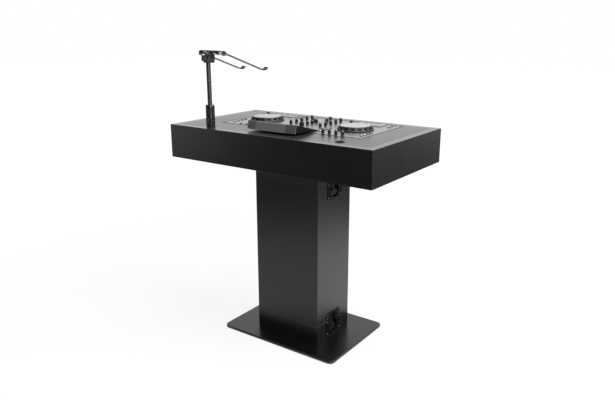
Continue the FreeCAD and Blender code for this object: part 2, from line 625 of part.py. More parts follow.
def build_tilt_head():
    """Forked head on the pole, and the clamp lever whose bolt is the tilt axis."""
    back, front = STAND_Y - HEAD_BACK, TILT_Y + HEAD_CHEEK_RADIUS
    half = HEAD_WIDTH / 2
    outline = [(back, HEAD_BOTTOM), (front, HEAD_BOTTOM), (front, TILT_Z),
               (TILT_Y, TILT_Z + HEAD_CHEEK_RADIUS), (back, HEAD_BOTTOM + HEAD_SHOULDER)]
    body = prism([V(STAND_X - half, y, z) for y, z in outline], V(HEAD_WIDTH, 0, 0))
    centres = [(edge, edge.CenterOfMass) for edge in edges_along(body, X_AXIS)]
    chin = [edge for edge, at in centres if at.z < HEAD_BOTTOM + OVERRUN and at.y > TILT_Y]
    body = body.makeFillet(HEAD_ROUND, chin)
    cheeks = rod(HEAD_CHEEK_RADIUS, V(STAND_X - half, TILT_Y, TILT_Z), HEAD_WIDTH, X_AXIS)
    slot_floor = TILT_Z - LUG_RADIUS - LOOSE_GAP
    slot = block(span(STAND_X, HEAD_SLOT), (back - OVERRUN, front + OVERRUN),
                 (slot_floor, TILT_Z + HEAD_CHEEK_RADIUS + OVERRUN))
    past = half + OVERRUN
    bolt_hole = rod(TILT_BOLT + RUNNING_GAP, V(STAND_X - past, TILT_Y, TILT_Z), 2 * past, X_AXIS)
    seat = at_stand(rod(POLE_RADIUS + RUNNING_GAP, V(0, 0, HEAD_BOTTOM - OVERRUN), POLE_SEAT + OVERRUN))
    save("tilt_head", [fuse([body, cheeks]).cut(slot).cut(bolt_hole).cut(seat)])

    hub_end = STAND_X - half - LOOSE_GAP
    hub_start = hub_end - LEVER_HUB
    cap_start = STAND_X + half + LOOSE_GAP
    middle = TILT_Z - LEVER_DROP
    tip = hub_start - LEVER_LENGTH
    wing_y = TILT_Y - LEVER_THICKNESS / 2
    outline = [(hub_end, -LEVER_ROOT), (hub_end, LEVER_ROOT), (tip, LEVER_TIP), (tip, -LEVER_TIP)]
    wing = prism([V(x, wing_y, middle + rise / 2) for x, rise in outline], V(0, LEVER_THICKNESS, 0))
    wing = wing.makeFillet(LEVER_ROUND, edges_along(wing, Y_AXIS))
    save("tilt_lever", [fuse([
        rod(LEVER_HUB_RADIUS, V(hub_start, TILT_Y, TILT_Z), LEVER_HUB, X_AXIS), wing,
        rod(TILT_BOLT, V(hub_start, TILT_Y, TILT_Z), cap_start + TILT_CAP - hub_start, X_AXIS),
        rod(TILT_CAP_RADIUS, V(cap_start, TILT_Y, TILT_Z), TILT_CAP, X_AXIS)])])


def at_cradle(shape):
    """A shape built level about the tilt axis, sloped and moved to the tilt head."""
    copy = shape.copy()
    copy.rotate(V(), X_AXIS, -CRADLE_TILT)
    return moved(copy, STAND_X, TILT_Y, TILT_Z)


def build_cradle():
    """Plate with its boss and tilt lug, two arms with upturned hooks, and the bolts they swing on."""
    top = CRADLE_LIFT + CRADLE_PLATE
    pieces = [round_plate(span(0, CRADLE_WIDTH), (-CRADLE_BACK, CRADLE_LENGTH - CRADLE_BACK),
                          (CRADLE_LIFT, top), CRADLE_CORNER)]
    pieces.append(rod(LUG_RADIUS, V(-LUG_WIDTH / 2, 0, 0), LUG_WIDTH, X_AXIS))
    pieces.append(block(span(0, LUG_WIDTH), span(0, LUG_NECK), (0, CRADLE_LIFT)))
    boss = block(span(0, BOSS_WIDTH), (-CRADLE_BACK, BOSS_LENGTH - CRADLE_BACK),
                 (CRADLE_LIFT - BOSS_HEIGHT, CRADLE_LIFT))
    pieces.append(boss.makeChamfer(BOSS_HEIGHT / 2, edges_along(boss, Z_AXIS)))
    pieces.append(block(span(0, ARM_SPREAD), span(ARM_PIVOT, 2 * ARM_EYE), (CRADLE_LIFT, top)))
    for side in (-1, 1):
        pieces.append(rod(ARM_EYE, V(side * ARM_SPREAD / 2, ARM_PIVOT, CRADLE_LIFT), CRADLE_PLATE))
    plate = fuse(pieces).cut(rod(TILT_BOLT + RUNNING_GAP, V(-LUG_WIDTH, 0, 0), 2 * LUG_WIDTH, X_AXIS))

    arm_top = CRADLE_LIFT - LOOSE_GAP
    arm_bottom = arm_top - ARM_PLATE
    nut_top = arm_bottom - LOOSE_GAP
    bolts = []
    for name, side in (("left", -1), ("right", 1)):
        x = side * ARM_SPREAD / 2
        start = V(x, ARM_PIVOT, nut_top - OVERRUN)
        hole = rod(PIVOT_BOLT + RUNNING_GAP, start, top - nut_top + 2 * OVERRUN)
        plate = plate.cut(hole)
        save(f"cradle_arm_{name}", [at_cradle(cradle_arm(x, arm_bottom, arm_top).cut(hole))])
        bolts.append(at_cradle(fuse([
            rod(PIVOT_BOLT, V(x, ARM_PIVOT, nut_top - PIVOT_NUT), top + PIVOT_HEAD - nut_top + PIVOT_NUT),
            rod(PIVOT_HEAD_RADIUS, V(x, ARM_PIVOT, top), PIVOT_HEAD),
            rod(PIVOT_NUT_RADIUS, V(x, ARM_PIVOT, nut_top - PIVOT_NUT), PIVOT_NUT)])))
    save("cradle_plate", [at_cradle(plate)])
    save("arm_pivot_bolts", bolts)


def cradle_arm(x, low, high):
    """Flat arm from its eye to an upturned hook."""
    end = ARM_PIVOT + ARM_LENGTH
    eye = rod(ARM_EYE, V(x, ARM_PIVOT, low), high - low)
    strip = block(span(x, ARM_WIDTH), (ARM_PIVOT, end), (low, high))
    left, right = span(x, ARM_WIDTH)
    section = [V(left, end, low), V(right, end, low), V(right, end, high), V(left, end, high)]
    face = Part.Face(Part.makePolygon(section + section[:1]))
    hook = face.revolve(V(0, end, high + ARM_HOOK_RADIUS), X_AXIS, ARM_HOOK_TURN)
    return fuse([eye, strip, hook])


def knob(x, y, radius=KNOB_RADIUS):
    """Rotary knob on a shaft through the panel, with a pointer groove across its top."""
    base = TABLE_TOP + LOOSE_GAP
    top = base + KNOB_HEIGHT
    skirt = radius + KNOB_SKIRT_RADIUS - KNOB_RADIUS
    tip = radius + KNOB_TIP_RADIUS - KNOB_RADIUS
    body = turned([
        (0, base - KNOB_SHAFT_LENGTH), (KNOB_SHAFT, base - KNOB_SHAFT_LENGTH), (KNOB_SHAFT, base),
        (skirt, base), (radius, base + KNOB_SKIRT), (tip, top), (0, top)])
    groove = block(span(0, KNOB_MARK), (0, radius + OVERRUN), (top - KNOB_MARK, top + OVERRUN))
    return moved(body.cut(groove), x, y, 0)


def knob_hole(x, y):
    """The panel's hole for a knob's shaft."""
    return rod(KNOB_SHAFT + RUNNING_GAP, V(x, y, PANEL_BOTTOM - OVERRUN), PANEL_PLATE + 2 * OVERRUN)


def fader(x, y, along_x=False):
    """Fader cap with a finger hollow, on a flat stem through the panel's slot."""
    base = TABLE_TOP + LOOSE_GAP
    top = base + FADER_CAP_HEIGHT
    width = span(0, FADER_CAP_WIDTH)
    cap = round_plate(width, span(0, FADER_CAP_LENGTH), (base, top), BUTTON_EASE)
    hollow = rod(FADER_CAP_DISH, V(-FADER_CAP_WIDTH, 0, top + FADER_CAP_DISH - FADER_CAP_SINK),
                 2 * FADER_CAP_WIDTH, X_AXIS)
    stem = block(span(0, FADER_STEM), span(0, FADER_STEM_LENGTH), (base - FADER_STEM_DEPTH, base + OVERRUN))
    piece = fuse([cap.cut(hollow), stem])
    if along_x:
        piece.rotate(V(), Z_AXIS, HALF_TURN / 2)
    return moved(piece, x, y, 0)


def fader_slot(x, y, travel, along_x=False):
    """The panel's slot for a fader's stem over its whole travel."""
    length = span(0, 2 * travel + FADER_STEM_LENGTH + 2 * LOOSE_GAP)
    width = span(0, FADER_SLOT)
    sides = (length, width) if along_x else (width, length)
    return moved(block(*sides, (PANEL_BOTTOM - OVERRUN, TABLE_TOP + OVERRUN)), x, y, 0)


def push_button(x, y, radius):
    """Round button with an eased rim, seated on the panel."""
    top = TABLE_TOP + BUTTON_HEIGHT
    rim = [(radius, TABLE_TOP), (radius, top - BUTTON_EASE), (radius - BUTTON_EASE, top)]
    return moved(turned([(0, TABLE_TOP)] + rim + [(0, top)]), x, y, 0)


def drawn(length):
    """A length of the control layout, drawn to the panel's real depth."""
    return length * LAYOUT_SCALE


def set_back(setback):
    """The place across the table of a setback of the control layout."""
    return PANEL_BACK + drawn(setback)


DECKS = (("left", -DECK_X), ("right", DECK_X))
HANDS = (("left", -1), ("right", 1))
EQ_PLACES = {f"eq_knob_{band}_{hand}": (side * MIXER_COLUMN, set_back(EQ_SETBACK + row * EQ_PITCH))
             for hand, side in HANDS for row, band in enumerate(("high", "mid", "low"))}
LEVEL_PLACES = (
    [(STRIP_X + index * STRIP_PITCH, set_back(STRIP_SETBACK)) for index in range(STRIP_KNOBS)]
    + [(side * MIXER_COLUMN, set_back(EQ_SETBACK + row * EQ_PITCH)) for _, side in HANDS for row in (-1, 3)]
    + [(0, set_back(MIDDLE_KNOB_SETBACK + index * MIDDLE_KNOB_PITCH)) for index in range(MIDDLE_KNOBS)])
BROWSE_PLACE = (0, set_back(BROWSE_SETBACK))
CROSSFADER_PLACE = (0, set_back(CROSSFADER_SETBACK))
CHANNEL_PLACES = {
    f"channel_fader_{hand}": (side * CHANNEL_X, set_back(CHANNEL_SETBACK + side * CHANNEL_STAGGER))
    for hand, side in HANDS}
TEMPO_PLACES = {f"tempo_fader_{hand}": (deck + TEMPO_OFFSET, set_back(TEMPO_SETBACK)) for hand, deck in DECKS}


def build_controller_case():
    """Chassis tub, top panel with its holes, display hood and screen."""
    half = PANEL_LENGTH / 2 - CHASSIS_INSET
    y_range = (PANEL_BACK + CHASSIS_INSET, PANEL_FRONT - CHASSIS_INSET)
    room_x = half - CHASSIS_WALL
    room_y = (y_range[0] + CHASSIS_WALL, y_range[1] - CHASSIS_WALL)
    room = block((-room_x, room_x), room_y, (CHASSIS_BOTTOM + CHASSIS_WALL, PANEL_BOTTOM + OVERRUN))
    save("controller_chassis", [block((-half, half), y_range, (CHASSIS_BOTTOM, PANEL_BOTTOM)).cut(room)])

    cutters = [knob_hole(*place) for place in [*EQ_PLACES.values(), *LEVEL_PLACES, BROWSE_PLACE]]
    cutters += [fader_slot(*place, drawn(CHANNEL_TRAVEL)) for place in CHANNEL_PLACES.values()]
    cutters += [fader_slot(*place, drawn(TEMPO_TRAVEL)) for place in TEMPO_PLACES.values()]
    cutters.append(fader_slot(*CROSSFADER_PLACE, CROSSFADER_TRAVEL, along_x=True))
    for _, deck in DECKS:
        start = V(deck, set_back(DECK_SETBACK), PANEL_BOTTOM - OVERRUN)
        cutters.append(rod(JOG_AXLE + RUNNING_GAP, start, PANEL_PLATE + 2 * OVERRUN))
    save("controller_panel", [panel_room(0, PANEL_BOTTOM, TABLE_TOP).cut(Part.makeCompound(cutters))])
    build_hood()


def build_hood():
    """Wedge-shaped display hood that overhangs the table top, with its screen on the slope."""
    back = HOOD_BACK + HOOD_FACE_STEP
    low, high = TABLE_TOP + HOOD_CLEAR, TABLE_TOP + HOOD_HEIGHT
    nose = TABLE_TOP + HOOD_NOSE
    crest = back + HOOD_LEAN
    outline = [(back, low), (crest, high), (HOOD_TIP, nose), (HOOD_TIP, TABLE_TOP), (PANEL_BACK, TABLE_TOP),
               (PANEL_BACK, low)]
    wedge = prism([V(-HOOD_LENGTH / 2, y, z) for y, z in outline], V(HOOD_LENGTH, 0, 0))
    edge = HOOD_FACE_LENGTH / 2
    foot = edge + HOOD_FACE_SLANT
    plan = [(-foot, back), (-edge, HOOD_BACK), (edge, HOOD_BACK), (foot, back)]
    rims = [[V(x, y + shift, z) for x, y in plan] for shift, z in ((0, low), (HOOD_LEAN, high))]
    face = Part.makeLoft([Part.makePolygon(rim + rim[:1]) for rim in rims], True, True)

    slope = math.degrees(math.atan2(high - nose, HOOD_TIP - crest))

    def on_slope(shape):
        copy = shape.copy()
        copy.rotate(V(), X_AXIS, -slope)
        return moved(copy, 0, (crest + HOOD_TIP) / 2, (high + nose) / 2)

    bottom = SCREEN_PROUD - SCREEN_GLASS
    glass = block(span(0, SCREEN_LENGTH), span(0, SCREEN_DEPTH), (bottom, SCREEN_PROUD))
    room = [span(0, size + 2 * SEAT_GAP) for size in (SCREEN_LENGTH, SCREEN_DEPTH)]
    recess = block(*room, (bottom, SCREEN_PROUD + OVERRUN))
    save("display_hood", [fuse([wedge, face]).cut(on_slope(recess))])
    save("display_screen", [on_slope(glass)])


def build_jogs():
    """Jog wheels: a notched tapering rim on an axle, with a round plate let into its top."""
    base = TABLE_TOP + LOOSE_GAP
    top = base + JOG_HEIGHT
    seat = top - JOG_PLATE
    radius, top_radius = drawn(JOG_RADIUS), drawn(JOG_TOP_RADIUS)
    plate_radius = drawn(JOG_PLATE_RADIUS)
    room = plate_radius + RUNNING_GAP
    rim = turned([
        (0, base - JOG_AXLE_LENGTH), (JOG_AXLE, base - JOG_AXLE_LENGTH), (JOG_AXLE, base), (radius, base),
        (radius, base + JOG_FOOT), (top_radius, top), (room, top), (room, seat), (0, seat)])
    notch_x = ((radius + top_radius) / 2 - JOG_NOTCH_DEPTH, radius + OVERRUN)
    notch_z = span(base + (JOG_FOOT + JOG_HEIGHT) / 2, JOG_NOTCH_HEIGHT)
    notches = []
    for index in range(JOG_NOTCHES):
        notch = block(notch_x, span(0, drawn(JOG_NOTCH_WIDTH)), notch_z)
        notch.rotate(V(), Z_AXIS, 2 * HALF_TURN * index / JOG_NOTCHES)
        notches.append(notch)
    rim = rim.cut(Part.makeCompound(notches))
    middle = set_back(DECK_SETBACK)
    for hand, deck in DECKS:
        save(f"jog_rim_{hand}", [moved(rim, deck, middle, 0)])
        save(f"jog_plate_{hand}", [rod(plate_radius, V(deck, middle, seat), JOG_PLATE)])


def build_controls():
    """Knobs, faders, pads and buttons on the controller's panel."""
    for name, place in EQ_PLACES.items():
        save(name, [knob(*place)])
    save("level_knobs", [knob(*place) for place in LEVEL_PLACES])
    save("browse_knob", [knob(*BROWSE_PLACE, BROWSE_RADIUS)])
    for name, place in (CHANNEL_PLACES | TEMPO_PLACES).items():
        save(name, [fader(*place)])
    save("crossfader", [fader(*CROSSFADER_PLACE, along_x=True)])

    pads, buttons = [], []
    pad_z = (TABLE_TOP, TABLE_TOP + PAD_HEIGHT)
    pad = round_plate(span(0, PAD_LENGTH), span(0, drawn(PAD_DEPTH)), pad_z, PAD_CORNER)
    for _, deck in DECKS:
        for column in range(PAD_COLUMNS):
            for row in range(PAD_ROWS):
                x = deck + PAD_FIRST_X + column * PAD_PITCH_X
                pads.append(moved(pad, x, set_back(PAD_SETBACK + row * PAD_PITCH_Y), 0))
        for index in range(PLAY_BUTTONS):
            y = set_back(PLAY_SETBACK + index * PLAY_PITCH)
            buttons.append(push_button(deck + PLAY_OFFSET, y, drawn(PLAY_RADIUS)))
        for index in range(SIDE_BUTTONS):
            y = set_back(SIDE_BUTTON_SETBACK + index * SIDE_BUTTON_PITCH)
            for _, side in HANDS:
                buttons.append(push_button(deck + side * SIDE_BUTTON_OFFSET, y, SIDE_BUTTON_RADIUS))
    for index in range(STRIP_KNOBS):
        x = -STRIP_X - index * STRIP_PITCH
        buttons.append(push_button(x, set_back(STRIP_SETBACK), SIDE_BUTTON_RADIUS))
    save("performance_pads", pads)
    save("deck_buttons", buttons)


def main():
    """Build every node of the booth."""
    os.makedirs("parts", exist_ok=True)
    build_base()
    build_column()
    build_table()
    build_latches()
    build_stand_tubes()
    build_tilt_head()
    build_cradle()
    build_controller_case()
    build_jogs()
    build_controls()


main()
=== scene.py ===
"""Looks of a DJ booth: a satin black table on a latched column, a silver controller and a laptop stand.

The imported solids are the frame. This script gives each of them a finish and adds the small
hardware: rivets, lips, knob sleeves, pointers, scales, rings, pads and screws. Metres throughout.
"""
import json
import logging
import math
from collections.abc import Callable, Sequence
from dataclasses import dataclass
from enum import Enum

import bpy
from mathutils import Matrix, Vector


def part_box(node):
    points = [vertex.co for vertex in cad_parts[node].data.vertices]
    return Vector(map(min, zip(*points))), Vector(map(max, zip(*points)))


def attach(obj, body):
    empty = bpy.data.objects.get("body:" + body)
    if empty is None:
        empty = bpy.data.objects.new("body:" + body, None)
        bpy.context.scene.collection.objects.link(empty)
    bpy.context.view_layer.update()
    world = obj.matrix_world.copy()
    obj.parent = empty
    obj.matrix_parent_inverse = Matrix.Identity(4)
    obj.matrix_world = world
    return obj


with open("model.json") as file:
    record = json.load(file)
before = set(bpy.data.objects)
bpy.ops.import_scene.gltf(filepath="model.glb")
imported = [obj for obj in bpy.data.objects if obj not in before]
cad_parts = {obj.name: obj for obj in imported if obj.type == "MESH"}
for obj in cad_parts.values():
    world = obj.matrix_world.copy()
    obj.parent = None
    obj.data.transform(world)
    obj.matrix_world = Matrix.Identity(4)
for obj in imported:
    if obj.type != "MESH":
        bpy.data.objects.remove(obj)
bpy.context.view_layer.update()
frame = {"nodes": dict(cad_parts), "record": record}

MM = 0.001
FULL_TURN = 2 * math.pi
LOG = logging.getLogger("dj_booth")

Pair = tuple[float, float]
Triple = tuple[float, float, float]
Colour = Triple
Piece = bpy.types.Object

BLACK: Colour = (0.0, 0.0, 0.0)
WHITE: Colour = (1.0, 1.0, 1.0)


class Axis(Enum):
    """Directions that a round piece may point in."""

    X = Vector((1, 0, 0))
    Z = Vector((0, 0, 1))


class Hand(Enum):
    """The two sides of the booth, as signs along X."""

    LEFT = -1
    RIGHT = 1

    @property
    def label(self) -> str:
        """The side as it stands in the names of pieces."""
        return self.name.lower()


class Brushing(Enum):
    """How a bare metal face was worked."""

    ALONG = "along"
    SPUN = "spun"


class Ray(Enum):
    """Kinds of ray that the studio tells apart, by Blender's names."""

    CAMERA = "Is Camera Ray"
    GLOSSY = "Is Glossy Ray"
    TRANSMISSION = "Is Transmission Ray"


class Link:
    """A shader socket that turns Python expressions into Math nodes."""

    def __init__(self, nodes: "Nodes", socket: bpy.types.NodeSocket) -> None:
        """Hold a socket and the nodes that its maths is added to."""
        self.nodes = nodes
        self.socket = socket

    def _math(self, operation: str, *values: "Link | float") -> "Link":
        """The result of one Math node with these inputs."""
        return self.nodes.add("ShaderNodeMath", {"operation": operation}, dict(enumerate(values)))

    def __add__(self, other: "Link | float") -> "Link":
        """Sum."""
        return self._math("ADD", self, other)

    __radd__ = __add__

    def __sub__(self, other: "Link | float") -> "Link":
        """Difference."""
        return self._math("SUBTRACT", self, other)

    def __rsub__(self, other: float) -> "Link":
        """Difference from a number."""
        return self._math("SUBTRACT", other, self)

    def __mul__(self, other: "Link | float") -> "Link":
        """Product."""
        return self._math("MULTIPLY", self, other)

    __rmul__ = __mul__

    def __abs__(self) -> "Link":
        """Size without sign."""
        return self._math("ABSOLUTE", self)

    def sine(self) -> "Link":
        """Sine of an angle."""
        return self._math("SINE", self)

    def most(self, other: "Link | float") -> "Link":
        """The larger of two values."""
        return self._math("MAXIMUM", self, other)

    def hypot(self, other: "Link") -> "Link":
        """Length of the diagonal over two sides."""
        return self._math("SQRT", self * self + other * other)

    def rise(self, low: float, high: float) -> "Link":
        """A soft step from 0 at a low value to 1 at a high one."""
        sockets = {"Value": self, "From Min": low, "From Max": high}
        return self.nodes.add("ShaderNodeMapRange", {"interpolation_type": "SMOOTHSTEP"}, sockets)

    def fall(self, low: float, high: float) -> "Link":
        """A soft step from 1 at a low value to 0 at a high one."""
        return 1 - self.rise(low, high)

    def swing(self, share: float) -> "Link":
        """A share of this value's distance from one half."""
        return share * (self - 0.5)

    def above(self, least: float) -> "Link":
        """This share, squeezed so that it starts at a least value and still ends at 1."""
        return least + (1 - least) * self


class Nodes:
    """A node tree, and the one way to add nodes to it."""

    def __init__(self, tree: bpy.types.NodeTree) -> None:
        """Work on a tree."""
        self.tree = tree

    def put(self, socket: bpy.types.NodeSocket, value: "Link | float | Triple") -> None:
        """Link or set one input.

        Args:
            socket: The input.
            value: A link, or a value that is set directly.
        """
        if isinstance(value, Link):
            self.tree.links.new(value.socket, socket)
        else:
            socket.default_value = (*value, 1) if socket.type == "RGBA" else value

    def add(self, kind: str, settings: dict | None = None, sockets: dict | None = None,
            output: int | str = 0) -> Link:
        """Add a node of any kind.

        Args:
            kind: Blender's node type.
            settings: Properties that are set first.
            sockets: Values or links of its inputs, by name or number.
            output: Which output to give back.

        Returns:
            The chosen output.
        """
        node = self.tree.nodes.new(kind)
        for key, value in (settings or {}).items():
            setattr(node, key, value)
        for key, value in (sockets or {}).items():
            self.put(node.inputs[key], value)
        return Link(self, node.outputs[output])

    def parts(self, vector: Link) -> list[Link]:
        """The X, Y and Z of a vector."""
        split = self.add("ShaderNodeSeparateXYZ", sockets={0: vector}).socket.node
        return [Link(self, socket) for socket in split.outputs]

    def ray(self, kind: Ray) -> Link:
        """1 for rays of a kind, else 0."""
        return self.add("ShaderNodeLightPath", output=kind.value)

    def mirrors(self) -> Link:
        """1 for rays that come by way of a mirror or a glass, else 0."""
        return self.ray(Ray.GLOSSY).most(self.ray(Ray.TRANSMISSION))


class Bench(Nodes):
    """The node tree of one material, with its shader and its place coordinates."""

    def __init__(self, name: str) -> None:
        """Start a material with a Principled shader.

        Args:
            name: The material's name.
        """
        self.material = bpy.data.materials.new(name)
        self.material.use_nodes = True
        super().__init__(self.material.node_tree)
        self.tree.nodes.clear()
        self.output = self.tree.nodes.new("ShaderNodeOutputMaterial")
        self.surface = self.add("ShaderNodeBsdfPrincipled")
        self.show(self.surface)
        self.place = self.add("ShaderNodeTexCoord", output="Object")
        self.x, self.y, self.z = self.parts(self.place)

    def show(self, surface: Link) -> None:
        """Make a shader the material's surface."""
        self.put(self.output.inputs[0], surface)

    def set(self, **values: "Link | float | Colour") -> None:
        """Set or link the Principled shader's sockets.

        Args:
            values: Socket names in lower case with underscores, and their values or links.
        """
        inputs = self.surface.socket.node.inputs
        for key, value in values.items():
            self.put(inputs[key.replace("_", " ").title().replace("Ior", "IOR")], value)

    def noise(self, scale: float, detail: float = 2, stretch: Triple | None = None,
              where: Link | None = None) -> Link:
        """Cloudy values between 0 and 1.

        Args:
            scale: Lumps in a metre.
            detail: Octaves.
            stretch: Scale of each axis, to draw the lumps out into streaks.
            where: Place of the noise, if it isn't the place on the object.

        Returns:
            The noise value.
        """
        where = where or self.place
        if stretch:
            where = self.add("ShaderNodeMapping", None, {"Vector": where, "Scale": stretch})
        return self.add("ShaderNodeTexNoise", None, {"Vector": where, "Scale": scale, "Detail": detail})

    def blend(self, share: Link, first: "Link | Colour", second: "Link | Colour") -> Link:
        """A colour between two others, by the share of the second."""
        return self.add("ShaderNodeMix", {"data_type": "RGBA"}, {0: share, 6: first, 7: second}, output=2)

    def bump(self, height: Link, depth: float, strength: float = 0.4) -> None:
        """Feed a height between 0 and 1, of a real depth, into the shader's normal."""
        sockets = {"Height": height, "Distance": depth, "Strength": strength}
        self.set(normal=self.add("ShaderNodeBump", None, sockets))


def joint_place(name: str) -> Vector:
    """A point on a joint's axis at rest."""
    joints = frame["record"]["behaviour"]["joints"]
    return Vector(next(joint["pos_m"] for joint in joints if joint["name"] == name))


def middle(node: str) -> Vector:
    """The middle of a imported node's box."""
    low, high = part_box(node)
    return (low + high) / 2


def grey(value: float, blue: float | None = None) -> Colour:
    """A grey, or a grey whose blue differs a little."""
    return (value, value, value if blue is None else blue)


def shaded(colour: Colour, share: float) -> Colour:
    """A colour made darker or lighter by a share."""
    return tuple(min(value * share, 1.0) for value in colour)


@dataclass(frozen=True)
class Finish:
    """A surface: its colour, its roughness and how strongly it mirrors."""

    colour: Colour
    roughness: float = 0.5
    mirror: float = 0.5

    def material(self, name: str) -> bpy.types.Material:
        """Make the material of this finish.

        Args:
            name: The material's name.

        Returns:
            The new material.
        """
        bench = Bench(name)
        bench.set(base_color=self.colour, roughness=self.roughness, specular_ior_level=self.mirror)
        self.paint(bench)
        return bench.material

    def toned(self, bench: Bench, share: Link, tones: Pair) -> Link:
        """The colour shaded by the first tone where a share is 0 and by the second where it is 1."""
        return bench.blend(share, *(shaded(self.colour, tone) for tone in tones))

    def paint(self, bench: Bench) -> None:
        """Lay this finish's pattern on a bench; the plain finish has none."""


@dataclass(frozen=True)
class Laminate(Finish):
    """Black satin board facing: fine pores, soft clouds, lines of another tone at set heights, polish above a
    height.
    """

    pores: float = 1500.0
    pore_depth: float = 0.00003
    pore_strength: float = 0.5
    pore_swing: float = 0.06
    clouds: float = 4.5
    cloud_share: float = 0.65
    rubs: float = 34.0
    rub_stretch: Triple = (1.0, 1.0, 0.35)
    tone_span: Pair = (0.3, 0.7)
    tone_swing: float = 0.04
    tones: Pair = (0.9, 1.12)
    polish_above: float | None = None
    polish_slack: float = 0.2 * MM
    polish: float = 0.6
    polish_roughness: float = 0.3
    # Heights of lines of another tone: painted highlights on the plinth's edges, a dark line at the collar's
    # seam.
    cut_edges: tuple[float, ...] = ()
    edge_width: float = 1.4 * MM
    edge_fade: float = 1.2
    edge_share: float = 40.0

    def paint(self, bench: Bench) -> None:
        """Pores in the bump, clouds in colour and roughness, lines at set heights, polish on the top faces.

        Args:
            bench: Where the nodes go.
        """
        cloud = bench.noise(self.clouds, detail=4)
        rubbed = bench.noise(self.rubs, detail=3, stretch=self.rub_stretch)
        grain = bench.noise(self.pores)
        tone = (self.cloud_share * cloud + (1 - self.cloud_share) * rubbed).rise(*self.tone_span)
        facing = self.toned(bench, tone, self.tones)
        # Lines at set heights: painted highlights where the tone is paler, a dark seam line where it is
        # darker.
        for height in self.cut_edges:
            edge = abs(bench.z - height).fall(self.edge_width, self.edge_fade * self.edge_width)
            facing = bench.blend(edge, facing, shaded(self.colour, self.edge_share))
        bench.set(base_color=facing)
        bench.set(roughness=self.roughness + tone.swing(self.tone_swing) + grain.swing(self.pore_swing))
        bench.bump(grain, self.pore_depth, self.pore_strength)
        if self.polish_above is not None:
            top = self.polish_above - self.polish_slack
            bench.set(coat_weight=self.polish * bench.z.rise(top - MM, top))
            bench.set(coat_roughness=self.polish_roughness)


@dataclass(frozen=True)
class PowderCoat(Finish):
    """Baked powder on steel: orange peel, a few specks, and upright faces painted paler as a highlight."""

    peel: float = 650.0
    peel_depth: float = 0.00012
    peel_strength: float = 0.45
    specks: float = 2600.0
    speck_span: Pair = (0.66, 0.74)
    tones: Pair = (0.92, 1.8)
    clouds: float = 6.0
    mottle: float = 0.12
    # How much paler upright faces are painted, as a highlight along the edges; 1 leaves them alone.
    worn: float = 1.0
    upright_span: Pair = (0.3, 0.7)

    def paint(self, bench: Bench) -> None:
        """Peel in the bump; specks, and a painted highlight on the upright faces, in the colour.

        Args:
            bench: Where the nodes go.
        """
        peel = bench.noise(self.peel, detail=3)
        specks = bench.noise(self.specks, detail=1).rise(*self.speck_span)
        cloud = bench.noise(self.clouds, detail=3)
        powder = self.toned(bench, specks, self.tones)
        # Painted highlight: every upright face gets a paler colour, standing in for light on the edges.
        if self.worn > 1:
            facing = bench.add("ShaderNodeNewGeometry", output="Normal")
            upright = abs(bench.parts(facing)[2]).fall(*self.upright_span)
            powder = bench.blend(upright, powder, shaded(self.colour, self.worn))
        bench.set(base_color=powder)
        bench.set(roughness=self.roughness + self.mottle * (cloud + peel - 1))
        bench.bump(peel, self.peel_depth, self.peel_strength)


@dataclass(frozen=True)
class BlackZinc(Finish):
    """Blackened pressed steel: nearly smooth, thinned to bare metal in small rubs."""

    bare: Colour = (0.32, 0.31, 0.3)
    rubs: float = 160.0
    rub_span: Pair = (0.68, 0.8)
    rub_share: float = 0.5
    rub_metal: float = 0.7
    marks: float = 420.0
    mark_depth: float = 0.00006
    mark_swing: float = 0.16

    def paint(self, bench: Bench) -> None:
        """Rubs through the black, and faint press marks.

        Args:
            bench: Where the nodes go.
        """
        rub = bench.noise(self.rubs, detail=5).rise(*self.rub_span) * self.rub_share
        marks = bench.noise(self.marks)
        bench.set(base_color=bench.blend(rub, self.colour, self.bare), metallic=rub * self.rub_metal)
        bench.set(roughness=self.roughness + marks.swing(self.mark_swing))
        bench.bump(marks, self.mark_depth)


@dataclass(frozen=True)
class MouldedPlastic(Finish):
    """Injection-moulded plastic with a fine spark-eroded texture."""

    texture: float = 1900.0
    texture_depth: float = 0.00006
    texture_swing: float = 0.08
    flow: float = 18.0
    flow_swing: float = 0.1
    tones: Pair = (0.88, 1.14)

    def paint(self, bench: Bench) -> None:
        """Texture in the bump, flow clouds in roughness and colour.

        Args:
            bench: Where the nodes go.
        """
        grit = bench.noise(self.texture)
        flow = bench.noise(self.flow, detail=3)
        bench.set(base_color=self.toned(bench, flow, self.tones))
        bench.set(roughness=self.roughness + flow.swing(self.flow_swing) + grit.swing(self.texture_swing))
        bench.bump(grit, self.texture_depth)


